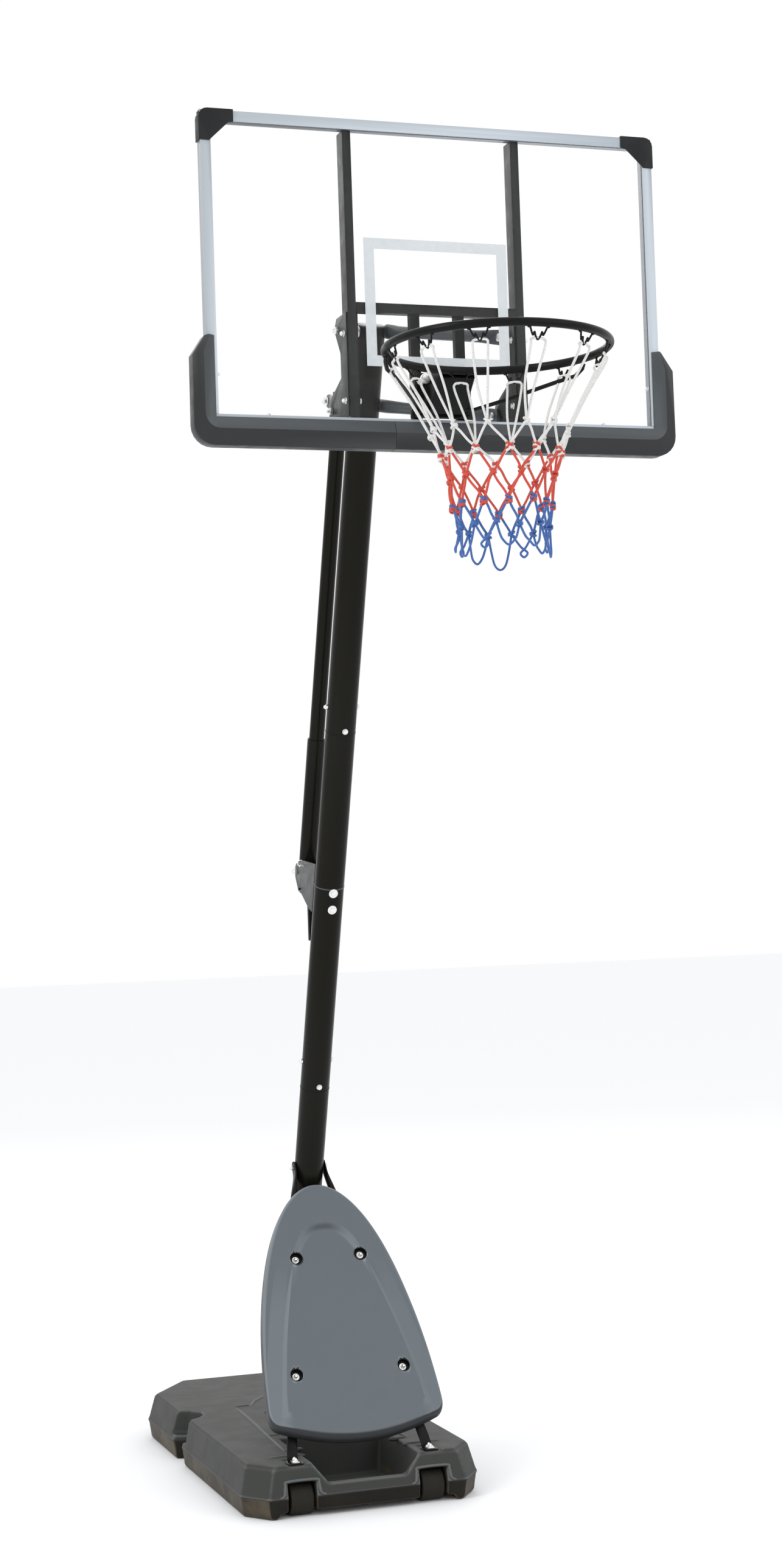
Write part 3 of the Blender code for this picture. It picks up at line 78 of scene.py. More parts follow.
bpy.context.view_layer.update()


# ------------------------------------------------------------------ materials
class Look:
    """A Principled material under construction: its textures all read the row frame in metres."""

    def __init__(self, name, colour, rough, metal=0.0):
        self.mat = bpy.data.materials.new(name)
        self.mat.use_nodes = True
        self.tree = self.mat.node_tree
        self.shader = self.tree.nodes["Principled BSDF"]
        self.place = self.tree.nodes.new("ShaderNodeTexCoord").outputs["Object"]
        self.shader.inputs["Base Color"].default_value = (*colour, 1)
        self.shader.inputs["Roughness"].default_value = rough
        self.shader.inputs["Metallic"].default_value = metal
        self.colour = None
        self.base = colour
        self.bump_out = None

    def link(self, a, b):
        self.tree.links.new(a, b)

    def stretched(self, scale):
        node = self.tree.nodes.new("ShaderNodeMapping")
        node.inputs["Scale"].default_value = scale
        self.link(self.place, node.inputs["Vector"])
        return node.outputs["Vector"]

    def noise(self, scale, detail=4.0, rough=0.55, stretch=None):
        node = self.tree.nodes.new("ShaderNodeTexNoise")
        node.inputs["Scale"].default_value = scale
        node.inputs["Detail"].default_value = detail
        node.inputs["Roughness"].default_value = rough
        self.link(self.stretched(stretch) if stretch else self.place, node.inputs["Vector"])
        return node.outputs["Fac"]

    def cells(self, scale):
        node = self.tree.nodes.new("ShaderNodeTexVoronoi")
        node.inputs["Scale"].default_value = scale
        self.link(self.place, node.inputs["Vector"])
        return node.outputs["Distance"]

    def ramp(self, value, low, high, a=0.0, b=1.0):
        node = self.tree.nodes.new("ShaderNodeMapRange")
        node.interpolation_type = "SMOOTHSTEP"
        for key, number in (("From Min", low), ("From Max", high), ("To Min", a), ("To Max", b)):
            node.inputs[key].default_value = number
        self.link(value, node.inputs["Value"])
        return node.outputs["Result"]

    def tint(self, factor, colour):
        """Mix the colour so far with another one by a factor."""
        node = self.tree.nodes.new("ShaderNodeMix")
        node.data_type = "RGBA"
        self.link(factor, node.inputs["Factor"])
        if self.colour:
            self.link(self.colour, node.inputs["A"])
        else:
            node.inputs["A"].default_value = (*self.base, 1)
        node.inputs["B"].default_value = (*colour, 1)
        self.colour = node.outputs["Result"]
        self.link(self.colour, self.shader.inputs["Base Color"])
        return self

    def gloss(self, factor, low, high):
        self.link(self.ramp(factor, 0.3, 0.7, low, high), self.shader.inputs["Roughness"])
        return self

    def bump(self, value, depth, strength=1.0):
        node = self.tree.nodes.new("ShaderNodeBump")
        node.inputs["Distance"].default_value = depth
        node.inputs["Strength"].default_value = strength
        self.link(value, node.inputs["Height"])
        if self.bump_out:
            self.link(self.bump_out, node.inputs["Normal"])
        self.bump_out = node.outputs["Normal"]
        self.link(self.bump_out, self.shader.inputs["Normal"])
        return self

    def edges(self, low=0.52, high=0.60):
        """Where the surface is convex, along its edges; the looks use it for painted edge highlights."""
        node = self.tree.nodes.new("ShaderNodeNewGeometry")
        return self.ramp(node.outputs["Pointiness"], low, high)

    def toward(self, axis, low, high):
        """0 where the surface's normal along this axis is `low`, 1 where it is `high`."""
        geometry = self.tree.nodes.new("ShaderNodeNewGeometry")
        split = self.tree.nodes.new("ShaderNodeSeparateXYZ")
        self.link(geometry.outputs["Normal"], split.inputs["Vector"])
        if low < high:
            return self.ramp(split.outputs[axis], low, high)
        return self.ramp(split.outputs[axis], high, low, 1.0, 0.0)

    def below(self, low, high):
        """1 under height `low`, 0 over `high`."""
        split = self.tree.nodes.new("ShaderNodeSeparateXYZ")
        self.link(self.place, split.inputs["Vector"])
        return self.ramp(split.outputs["Z"], low, high, 1.0, 0.0)

    def times(self, a, b):
        node = self.tree.nodes.new("ShaderNodeMath")
        node.operation = "MULTIPLY"
        for slot, value in zip(node.inputs, (a, b)):
            if isinstance(value, float):
                slot.default_value = value
            else:
                self.link(value, slot)
        return node.outputs["Value"]

    def set(self, **values):
        for key, value in values.items():
            self.shader.inputs[key.replace("_", " ")].default_value = value
        return self


def moulded_plastic():
    """Blow-moulded polyethylene: dusty on top, a pebbled skin, scuffs and a browner lower band, with painted
    highlights along its edges and painted shade on faces turned down and on the front of the lower band.
    """
    look = Look("moulded_tank", (0.036, 0.038, 0.035), 0.50)
    look.tint(look.times(look.noise(2.2, 5), 0.45), (0.046, 0.048, 0.045))
    dust = look.times(look.toward("Z", 0.5, 1.0), look.times(look.noise(5, 4, 0.5), 0.10))
    look.tint(dust, (0.085, 0.088, 0.080))
    scuffs = look.ramp(look.noise(60, 6, 0.7, (1, 1, 0.25)), 0.62, 0.75)
    look.tint(look.times(scuffs, 0.18), (0.13, 0.12, 0.11))
    # painted highlight: convex edges tinted lighter
    look.tint(look.times(look.edges(0.504, 0.545), 0.55), (0.165, 0.172, 0.172))
    # painted shade: faces turned down tinted nearly black
    look.tint(look.times(look.toward("Z", 0.10, -0.25), 0.7), (0.008, 0.008, 0.007))
    low = look.times(look.below(0.046, 0.053), look.toward("Z", 0.5, 0.2))
    look.tint(look.times(low, 0.80), (0.034, 0.026, 0.017))
    soil = look.times(look.ramp(look.noise(14, 6, 0.6), 0.35, 0.70), 0.60)
    look.tint(look.times(low, soil), (0.110, 0.088, 0.060))
    # painted shade: the front-facing part of the lower band tinted nearly black
    look.tint(look.times(look.times(low, look.toward("Y", -0.6, -0.9)), 0.93), (0.006, 0.0045, 0.003))
    look.gloss(look.noise(18, 6), 0.52, 0.58)
    look.set(Specular_IOR_Level=0.20)
    return look.bump(look.noise(650, 3, 0.6), 0.0004, 0.35).bump(look.noise(9, 3), 0.001, 0.06).mat


def shield_plastic(name="shield_cover", shade=1.0):
    """Slate plastic with painted light: side-facing borders painted lighter, painted highlights on its edges and
    painted shade where it turns down; `shade` dims it all, for the painted shade inside the bolts' cups.
    """
    def tone(*colour):
        return tuple(c * shade for c in colour)

    look = Look(name, tone(0.098, 0.115, 0.129), 0.46)
    look.tint(look.times(look.noise(3.0, 5), 0.5), tone(0.112, 0.131, 0.146))
    scratches = look.ramp(look.noise(90, 6, 0.7, (1, 0.2, 0.2)), 0.62, 0.78)
    look.tint(look.times(scratches, 0.18), tone(0.19, 0.20, 0.21))
    # painted light: border slopes facing sideways tinted lighter
    look.tint(look.times(look.toward("X", -0.02, -0.16), 0.75), tone(0.165, 0.192, 0.212))
    look.tint(look.times(look.toward("X", 0.02, 0.16), 0.55), tone(0.150, 0.176, 0.196))
    # painted highlight: convex edges and ridges tinted lighter
    look.tint(look.times(look.edges(0.508, 0.53), 0.65), tone(0.27, 0.29, 0.31))
    # painted shade: where the surface turns down, tinted nearly black
    look.tint(look.times(look.toward("Z", 0.47, 0.12), 0.94), tone(0.007, 0.0075, 0.008))
    look.gloss(look.noise(25, 6), 0.40, 0.54)
    # the dimmed copy, painted shade for the bolts' cups, also reflects less
    look.set(Specular_IOR_Level=0.40 if shade == 1.0 else 0.10)
    return look.bump(look.noise(900, 2, 0.5), 0.00025, 0.30).mat


def pad_plastic(name, inward):
    """Satin plastic with painted light: facets facing up and towards the panel painted lighter, facets facing out and
    down painted darker, and painted highlights on the edges; `inward` is the X side of the panel.
    """
    look = Look(name, (0.015, 0.017, 0.018), 0.42)
    look.tint(look.times(look.noise(5.0, 5, 0.6, (0.4, 1, 1)), 0.6), (0.024, 0.027, 0.028))
    # painted light: facets facing up and towards the panel tinted lighter
    look.tint(look.times(look.toward("Z", 0.02, 0.2), 0.6), (0.085, 0.096, 0.103))
    look.tint(look.times(look.toward("X", 0.02 * inward, 0.2 * inward), 0.5), (0.085, 0.096, 0.103))
    # painted shade: facets facing out and down tinted nearly black
    look.tint(look.times(look.toward("X", -0.2 * inward, -0.6 * inward), 0.8), (0.006, 0.006, 0.006))
    look.tint(look.times(look.toward("Z", -0.2, -0.7), 0.8), (0.006, 0.006, 0.006))
    # painted highlight on the edges
    look.tint(look.times(look.edges(0.515, 0.58), 0.25), (0.08, 0.09, 0.095))
    look.gloss(look.noise(40, 5), 0.36, 0.50)
    look.set(Specular_IOR_Level=0.35)
    return look.bump(look.noise(1100, 2), 0.0002, 0.25).bump(look.noise(12, 3), 0.0012, 0.2).mat


def trim_plastic():
    """The corner caps' and small covers' dull black plastic."""
    look = Look("trim", (0.008, 0.009, 0.010), 0.45)
    look.tint(look.times(look.noise(12, 5), 0.6), (0.014, 0.015, 0.016))
    # painted highlight on the edges
    look.tint(look.times(look.edges(0.51, 0.57), 0.20), (0.040, 0.042, 0.044))
    look.gloss(look.noise(30, 5), 0.38, 0.52)
    look.set(Specular_IOR_Level=0.18)
    return look.bump(look.noise(1200, 2), 0.0002, 0.3).mat


def coated_steel(name, colour, lighter, rough=(0.26, 0.40), specular=0.30, dust=0.04):
    """Powder-coated steel: a fine orange peel, faint handling marks and painted highlights along its edges."""
    look = Look(name, colour, rough[0])
    look.tint(look.times(look.noise(4.0, 6, 0.6, (1, 1, 0.3)), 0.6), lighter)
    look.tint(look.times(look.ramp(look.noise(160, 5, 0.7), 0.66, 0.74), dust), (0.22, 0.21, 0.19))
    # painted highlight on the edges
    look.tint(look.times(look.edges(0.53, 0.62), 0.15), (0.10, 0.10, 0.095))
    look.gloss(look.noise(22, 6), *rough)
    look.set(Specular_IOR_Level=specular)
    return look.bump(look.noise(700, 2, 0.5), 0.00018, 0.35).mat


def wheel_plastic():
    """Hard tread, matt and dusty."""
    look = Look("wheel_tread", (0.0075, 0.0068, 0.0052), 0.60)
    look.tint(look.times(look.noise(60, 8, 0.7), 0.35), (0.018, 0.0155, 0.011))
    # painted highlight on the edges
    look.tint(look.times(look.edges(0.51, 0.57), 0.4), (0.060, 0.054, 0.043))
    look.gloss(look.noise(50, 5), 0.5, 0.70)
    look.set(Specular_IOR_Level=0.14)
    return look.bump(look.noise(420, 4), 0.0006, 0.5).mat


def silver_bar(name, grain):
    """Extruded bar in pale blue-grey, brushed along its length, with painted shade on its faces turned down and
    sideways and painted highlights along its edges.
    """
    look = Look(name, (0.235, 0.275, 0.318), 0.34, 0.45)
    look.tint(look.times(look.noise(60, 5, 0.6, grain), 0.55), (0.18, 0.215, 0.255))
    look.tint(look.times(look.noise(2.5, 4), 0.35), (0.275, 0.32, 0.365))
    # painted shade: faces turned down and faces turned sideways tinted nearly black
    for axis, low, high in (("Z", -0.5, -0.9), ("X", -0.5, -0.9), ("X", 0.5, 0.9)):
        look.tint(look.times(look.toward(axis, low, high), 0.85), (0.040, 0.044, 0.046))
    # painted highlight: the edges tinted nearly white
    look.tint(look.times(look.edges(0.52, 0.60), 0.4), (0.70, 0.74, 0.78))
    look.gloss(look.noise(90, 5, 0.6, grain), 0.26, 0.42)
    return look.bump(look.noise(300, 3, 0.6, grain), 0.0002, 0.3).mat


def zinc_plate():
    """Bright plated steel with crystal-like patches and a few stains."""
    look = Look("zinc_plate", (0.86, 0.86, 0.84), 0.24, 0.85)
    look.tint(look.times(look.cells(260), 0.7), (0.66, 0.67, 0.67))
    look.tint(look.times(look.ramp(look.noise(180, 6, 0.7), 0.60, 0.72), 0.4), (0.42, 0.39, 0.35))
    look.gloss(look.noise(200, 4), 0.18, 0.40)
    return look.bump(look.noise(900, 3), 0.00015, 0.3).mat


def clear_sheet():
    """Clear board: almost nothing but its reflections, a faint haze and wipe marks."""
    look = Look("clear_board", (0.86, 0.90, 0.92), 0.04)
    haze = look.ramp(look.noise(3.0, 8, 0.65, (1, 1, 0.5)), 0.35, 0.75, 0.004, 0.012)
    look.link(haze, look.shader.inputs["Alpha"])
    look.gloss(look.noise(9, 8, 0.7, (1, 1, 2.5)), 0.02, 0.10)
    look.tint(look.times(look.noise(30, 6), 0.3), (0.80, 0.84, 0.87))
    return look.bump(look.noise(1.6, 2), 0.0008, 0.15).mat


def printed_band():
    """White print on the panel, thin enough for a little to show through."""
    look = Look("target_band", (0.60, 0.64, 0.66), 0.30)
    look.tint(look.times(look.noise(8, 6), 0.6), (0.69, 0.72, 0.74))
    look.tint(look.times(look.ramp(look.noise(240, 5, 0.7), 0.62, 0.72), 0.35), (0.50, 0.54, 0.57))
    look.link(look.ramp(look.noise(60, 5), 0.2, 0.8, 0.80, 0.90), look.shader.inputs["Alpha"])
    look.gloss(look.noise(20, 4), 0.25, 0.38)
    return look.bump(look.noise(500, 2), 0.0001, 0.3).mat


def net_cord(name, colour, darker):
    """Braided nylon: fine diagonal strands, fuzz and handling dirt."""
    look = Look(name, colour, 0.62)
    look.tint(look.times(look.cells(480), 0.9), darker)
    look.tint(look.times(look.ramp(look.noise(35, 6, 0.7), 0.55, 0.75), 0.30), tuple(c * 0.6 for c in darker))
    look.gloss(look.noise(300, 3), 0.5, 0.75)
    look.set(Sheen_Weight=0.35, Sheen_Roughness=0.4)
    return look.bump(look.cells(620), 0.0005, 0.6).mat


LOOKS = {
    "moulded": moulded_plastic(),
    "shield": shield_plastic(),
    # painted shade: the shield plastic dimmed for the inside of the bolts' cups
    "shield_cup_painted_shade": shield_plastic("shield_cup_painted_shade", 0.12),
    # left and right copies, mirrored so their painted light and shade fall on the facets towards the panel
    "pad": pad_plastic("edge_pad_left", 1),
    "pad_right": pad_plastic("edge_pad_right", -1),
    "trim": trim_plastic(),
    "pole": coated_steel("pole_coat", (0.0052, 0.0048, 0.0030), (0.0088, 0.0080, 0.0055), (0.20, 0.30),
                         0.10),
    "arm": coated_steel("arm_coat", (0.038, 0.044, 0.048), (0.062, 0.071, 0.077), (0.28, 0.44), 0.35),
    "plate": coated_steel("bracket_coat", (0.036, 0.041, 0.043), (0.056, 0.063, 0.066), (0.32, 0.48), 0.35),
    "black": coated_steel("black_coat", (0.0045, 0.0047, 0.0047), (0.0085, 0.0086, 0.0082), (0.24, 0.38),
                          0.12),
    "rubber": wheel_plastic(),
    "silver": silver_bar("silver_level", (0.02, 1, 1)),
    "silver_upright": silver_bar("silver_upright", (1, 1, 0.02)),
    "zinc": zinc_plate(),
    "clear": clear_sheet(),
    "band": printed_band(),
    "net": net_cord("net_white", (0.80, 0.80, 0.78), (0.52, 0.52, 0.51)),
    "net_red": net_cord("net_red", (0.70, 0.072, 0.032), (0.42, 0.032, 0.018)),
    "net_blue": net_cord("net_blue", (0.045, 0.155, 0.46), (0.018, 0.066, 0.25)),
}
SLOT_OF = {part["node"]: part["material_slot"] for part in frame["record"]["subparts"]}
BODY_OF = {node: body for body, nodes in frame["record"]["behaviour"]["bodies"].items() for node in nodes}


def look_of(node):
    own = {"frame_left": "silver_upright", "frame_right": "silver_upright", "pad_right": "pad_right"}
    return LOOKS[own.get(node, SLOT_OF[node])]


def paint_cad():
    for name, obj in NODES.items():
        obj.data.materials.clear()
        obj.data.materials.append(look_of(name))


# ------------------------------------------------------------------ mesh helpers
def add_mesh(name, bm, look, sharp=35.0):
    bmesh.ops.recalc_face_normals(bm, faces=bm.faces)
    mesh = bpy.data.meshes.new(name)
    bm.to_mesh(mesh)
    bm.free()
    mesh.materials.append(look)
    mesh.shade_smooth()
    mesh.set_sharp_from_angle(angle=math.radians(sharp))
    obj = bpy.data.objects.new(name, mesh)
    bpy.context.scene.collection.objects.link(obj)
    return obj


def settle(obj):
    """Turn the modifiers into plain mesh."""
    bpy.context.view_layer.update()
    graph = bpy.context.evaluated_depsgraph_get()
    mesh = bpy.data.meshes.new_from_object(obj.evaluated_get(graph))
    obj.modifiers.clear()
    old, obj.data = obj.data, mesh
    bpy.data.meshes.remove(old)
    return obj


def clean_copy(node):
    """A CAD node's own surface with its doubled vertices welded."""
    bm = bmesh.new()
    bm.from_mesh(NODES[node].data)
    bmesh.ops.remove_doubles(bm, verts=bm.verts, dist=0.00002)
    return bm


def stand_for(obj, node):
    """Put a finer piece in a CAD node's place: in the node's body, with the node hidden."""
    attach(obj, BODY_OF[node])
    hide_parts(node)
    return obj


FINISH_SHARP = 40.0                     # degrees: edges of a finished piece that stay crisp


def rounded(node, width, segments, angle=28.0):
    """The node again with its hard edges rounded over."""
    bm = clean_copy(node)
    bmesh.ops.dissolve_limit(bm, angle_limit=math.radians(1.5), verts=bm.verts, edges=bm.edges)
    obj = add_mesh(node + "_finish", bm, look_of(node), 180)
    bevel = obj.modifiers.new("edges", "BEVEL")
    bevel.width, bevel.segments = width, segments
    bevel.limit_method, bevel.angle_limit = "ANGLE", math.radians(angle)
    bevel.harden_normals = True
    settle(obj)
    obj.data.set_sharp_from_angle(angle=math.radians(FINISH_SHARP))
    return stand_for(obj, node)


def smoothed(node, levels=2, sharp=38.0):
    """The node again with its facets blended into round skin, and its real edges kept."""
    bm = clean_copy(node)
    bmesh.ops.join_triangles(bm, faces=bm.faces, angle_face_threshold=math.radians(25),
                             angle_shape_threshold=math.radians(60))
    crease = bm.edges.layers.float.new("crease_edge")
    for edge in bm.edges:
        if len(edge.link_faces) == 2 and edge.calc_face_angle(0) > math.radians(sharp):
            edge[crease] = 1.0
    obj = add_mesh(node + "_finish", bm, look_of(node), 180)
    skin = obj.modifiers.new("skin", "SUBSURF")
    skin.levels = skin.render_levels = levels
    settle(obj)
    obj.data.set_sharp_from_angle(angle=math.radians(FINISH_SHARP))
    return stand_for(obj, node)


def lathe(name, profile, start, axis, look, segments=64):
    """Rings of (radius, height) about an axis; a first or last radius of 0 closes the end."""
    turn = Vector(axis).normalized().to_track_quat("Z", "Y").to_matrix().to_4x4()
    place = Matrix.Translation(Vector(start)) @ turn
    bm = bmesh.new()
    loops = []
    for radius, height in profile:
        if radius < 1e-7:
            loops.append([bm.verts.new(place @ Vector((0, 0, height)))])
            continue
        loops.append([bm.verts.new(place @ Vector((radius * math.cos(a), radius * math.sin(a), height)))
                      for a in (2 * math.pi * i / segments for i in range(segments))])
    for a, b in zip(loops, loops[1:]):
        for i in range(segments):
            j = (i + 1) % segments
            if len(a) == 1:
                bm.faces.new((a[0], b[j], b[i]))
            elif len(b) == 1:
                bm.faces.new((a[i], a[j], b[0]))
            else:
                bm.faces.new((a[i], a[j], b[j], b[i]))
    return add_mesh(name, bm, look)


def smooth_path(points, per=8, closed=False):
    """A Catmull-Rom line through the points."""
    points = [Vector(p) for p in points]
    count = len(points)
    spans = count if closed else count - 1
    out = []
    for i in range(spans):
        if closed:
            a, b, c, d = (points[(i + k - 1) % count] for k in range(4))
        else:
            a, b, c, d = (points[min(max(i + k - 1, 0), count - 1)] for k in range(4))
        for step in range(per):
            t = step / per
            out.append(0.5 * (2 * b + (c - a) * t + (2 * a - 5 * b + 4 * c - d) * t * t
                              + (3 * b - a - 3 * c + d) * t ** 3))
    if not closed:
        out.append(points[-1])
    return out


def add_tube(bm, path, radius, sides=10, closed=False, slot=0, taper=None):
    """Sweep a circle along a path into bm, without twist."""
    path = [Vector(p) for p in path]
    count = len(path)
    side = None
    loops = []
    for i, point in enumerate(path):
        before = path[(i - 1) % count] if closed or i else point
        after = path[(i + 1) % count] if closed or i < count - 1 else point
        along = (after - before).normalized()
        if side is None:
            side = along.orthogonal().normalized()
        side = (side - along * side.dot(along)).normalized()
        other = along.cross(side)
        size = radius * (taper(i / max(count - 1, 1)) if taper else 1)
        loops.append([bm.verts.new(point + (side * math.cos(a) + other * math.sin(a)) * size)
                      for a in (2 * math.pi * k / sides for k in range(sides))])
    pairs = list(zip(loops, loops[1:]))
    if closed:
        first, last = loops[0], loops[-1]
        shift = min(range(sides), key=lambda k: (first[k].co - last[0].co).length)
        pairs.append((last, first[shift:] + first[:shift]))
    for a, b in pairs:
        for k in range(sides):
            face = bm.faces.new((a[k], a[(k + 1) % sides], b[(k + 1) % sides], b[k]))
            face.material_index = slot
    if not closed:
        for cap in (loops[0], loops[-1]):
            bm.faces.new(cap).material_index = slot


def fine_bolt(name, start, end, radius, body, head=1.75, washer=0.0, tail=True):
    """A hexagon head and washer at the start, a shank, and a nut at the end, domed when it has a tail."""
    start, end = Vector(start), Vector(end)
    axis = (end - start).normalized()
    side = axis.orthogonal().normalized()
    other = axis.cross(side)
    sides, seat, edge = 36, 0.0012, 0.0001
    bm = bmesh.new()

    def stack(origin, rows, way):
        """Rings of (height, radius, whether six-sided), skinned and closed."""
        loops = []
        for along, size, six in rows:
            ring = []
            for i in range(sides):
                angle = 2 * math.pi * i / sides
                reach = size
                if six:
                    reach = size * math.cos(math.pi / 6) / math.cos((angle % (math.pi / 3)) - math.pi / 6)
                spot = origin + way * along + (side * math.cos(angle) + other * math.sin(angle)) * reach
                ring.append(bm.verts.new(spot))
            loops.append(ring)
        for a, b in zip(loops, loops[1:]):
            for i in range(sides):
                bm.faces.new((a[i], a[(i + 1) % sides], b[(i + 1) % sides], b[i]))
        bm.faces.new(loops[0])
        bm.faces.new(loops[-1])

    hexa, thick = radius * head, radius * 1.3
    flange = washer or radius * 2.1
    disc = [(-edge, flange, False), (seat - edge, flange, False), (seat + 2 * edge, flange - 3 * edge, False)]
    top = [(seat, hexa, True), (seat + thick * 0.85, hexa, True), (seat + thick, hexa * 0.88, False)]
    dome = [(seat + thick + radius * 1.25 * math.sin(a), max(hexa * 0.80 * math.cos(a), 4 * edge), False)
            for a in (math.pi / 2 * k / 6 for k in range(7))]
    for origin, way, domed in ((start, -axis, False), (end, axis, tail)):
        stack(origin, disc, way)
        stack(origin, top + (dome if domed else []), way)
    stack(start, [(0, radius, False), ((end - start).length, radius, False)], axis)
    obj = add_mesh(name, bm, LOOKS["zinc"], 32)
    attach(obj, body)
    return obj


# ------------------------------------------------------------------ tubes of the pole and the lift
def leaning_tube(node):
    """(foot, head, radius) of a tube that leans in the YZ plane, worked out from its box."""
    low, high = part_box(node)
    radius = (high.x - low.x) / 2
    depth, height = high.y - low.y, high.z - low.z
    lean, rounds = 0.3, 30
    for _ in range(rounds):
        lean = math.atan2(depth - 2 * radius * math.cos(lean), height - 2 * radius * math.sin(lean))
    reach_y, reach_z = radius * math.cos(lean), radius * math.sin(lean)
    foot = Vector((0, high.y - reach_y, low.z + reach_z))
    head = Vector((0, low.y + reach_y, high.z - reach_z))
    return foot, head, radius


def pole_frame():
    foot = leaning_tube("pole_lower")[0]
    head = leaning_tube("pole_upper")[1]
    return foot, (head - foot).normalized()


POLE_FOOT, POLE_UP = pole_frame()
POLE_REAR = Vector((0, POLE_UP.z, -POLE_UP.y))


def on_pole(z):
    return POLE_FOOT + POLE_UP * ((z - POLE_FOOT.z) / POLE_UP.z)


TUBE_WALLS = {"pole_lower": 0.0025, "pole_middle": 0.0025, "pole_upper": 0.0025, "lift_sleeve": 0.0028,
              "lift_tube": 0.002}
SEAM_BEAD = ((-0.0005, -0.0022), (0.0006, -0.0014), (0.0008, 0), (0.0006, 0.0014), (-0.0005, 0.0022))
POLE_SEAMS = (("low", 1.020, "pole"), ("mid", 1.545, "arm"), ("high", 1.930, "pole"))     # name, height, look
POLE_STUDS = (("high", 1.939), ("low", 1.034))
STUD_R, STUD_SINK = 0.0035, 0.004


def make_tubes():
    lip, crown = 0.0009, 0.0008         # the rounding of a tube's ends, and the rise of the lift tube's cap
    for node, wall in TUBE_WALLS.items():
        foot, head, radius = leaning_tube(node)
        length = (head - foot).length
        profile = [(radius - wall, length * 0.5), (radius - wall, 0), (radius - lip, 0), (radius, lip),
                   (radius, length * 0.5), (radius, length - lip), (radius - lip, length)]
        if node == "lift_tube":
            profile += [(radius * 0.6, length + crown * 0.625), (0, length + crown)]
        else:
            profile += [(radius - wall, length), (radius - wall, length * 0.5)]
        stand_for(lathe(node + "_finish", profile, foot, head - foot, look_of(node)), node)
    radius = leaning_tube("pole_middle")[2]
    ring = [(radius + out, along) for out, along in SEAM_BEAD]
    for name, z, look in POLE_SEAMS:
        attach(lathe("pole_seam_" + name, ring, on_pole(z), POLE_UP, LOOKS[look]), "base")
    for name, z in POLE_STUDS:
        face = on_pole(z)
        fine_bolt("pole_front_bolt_" + name, face - POLE_REAR * (radius + 0.0004),
                  face + POLE_REAR * (radius - STUD_SINK), STUD_R, "base", tail=False)


# ------------------------------------------------------------------ rim, springs and net
RING_LOW, RING_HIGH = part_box("rim_ring")
RIM_TUBE, RIM_INSET = 0.009, 0.0009     # the ring's wire, and how far the CAD's flats fall short of the circle
RIM_CENTRE = Vector((0, (RING_LOW.y + RING_HIGH.y) / 2, RING_HIGH.z - RIM_TUBE))
RIM_R = (RING_HIGH.x - RING_LOW.x) / 2 + RIM_INSET - RIM_TUBE
HOOKS, HOOK_HALF, HOOK_DROP, HOOK_WIRE, HOOK_LEAN = 12, 0.0215, 0.026, 0.0021, 0.010
HOOK_TOP = -RIM_TUBE * 0.75             # where the hooks' wire meets the ring


def round_rim(angle, radius, z):
    return RIM_CENTRE + Vector((math.sin(angle) * radius, math.cos(angle) * radius, z))


def ring_along(angle):
    """The ring's direction of travel at this angle."""
    return Vector((math.cos(angle), -math.sin(angle), 0))


def hook_path(angle):
    """A hook's wire: two shoulders and a deep middle loop, hung under the ring."""
    shape = [(-1.0, 0.10), (-0.86, -0.10), (-0.62, -0.55), (-0.50, -0.68), (-0.42, -0.52), (-0.36, -0.46),
             (-0.24, -0.74), (0.0, -1.0)]
    shape += [(-u, v) for u, v in reversed(shape[:-1])]
    out = Vector((math.sin(angle), math.cos(angle), 0))
    along = ring_along(angle)
    base = round_rim(angle, RIM_R - 0.001, HOOK_TOP)
    return [base + along * (HOOK_HALF * u) + Vector((0, 0, HOOK_DROP * v)) + out * (HOOK_LEAN * min(v, 0))
            for u, v in shape]


def make_rim():
    bm = bmesh.new()
    steps, weld_r = 160, 0.0034
    add_tube(bm, [round_rim(2 * math.pi * i / steps, RIM_R, 0) for i in range(steps)], RIM_TUBE, 24, closed=True)
    for i in range(HOOKS):
        angle = 2 * math.pi * i / HOOKS
        add_tube(bm, smooth_path(hook_path(angle), 5), HOOK_WIRE, 10)
        for side in (-1, 1):
            weld = round_rim(angle + side * HOOK_HALF / RIM_R, RIM_R - 0.001, -RIM_TUBE * 0.92)
            bmesh.ops.create_uvsphere(bm, u_segments=10, v_segments=8, radius=weld_r,
                                      matrix=Matrix.Translation(weld))
    stand_for(add_mesh("rim_ring_finish", bm, LOOKS["black"], 60), "rim_ring")


def make_springs():
    """Coils between each rim bolt's washer and the sprung plate."""
    for side in ("left", "right"):
        low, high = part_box("rim_spring_" + side)
        centre, wire, inset = (low + high) / 2, 0.0011, 0.02
        radius, turns, steps = (high.x - low.x) / 2 - wire, 8.5, 20
        count = int(turns * steps)
        path = []
        for i in range(count + 1):
            t = i / count
            spread = inset + (1 - 2 * inset) * t
            angle = 2 * math.pi * turns * t
            path.append(Vector((centre.x + radius * math.cos(angle), low.y + (high.y - low.y) * spread,
                                centre.z + radius * math.sin(angle))))
        bm = bmesh.new()
        add_tube(bm, path, wire, 8)
        coil = stand_for(add_mesh("rim_spring_%s_coil" % side, bm, LOOKS["zinc"], 60), "rim_spring_" + side)
        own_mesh(coil)


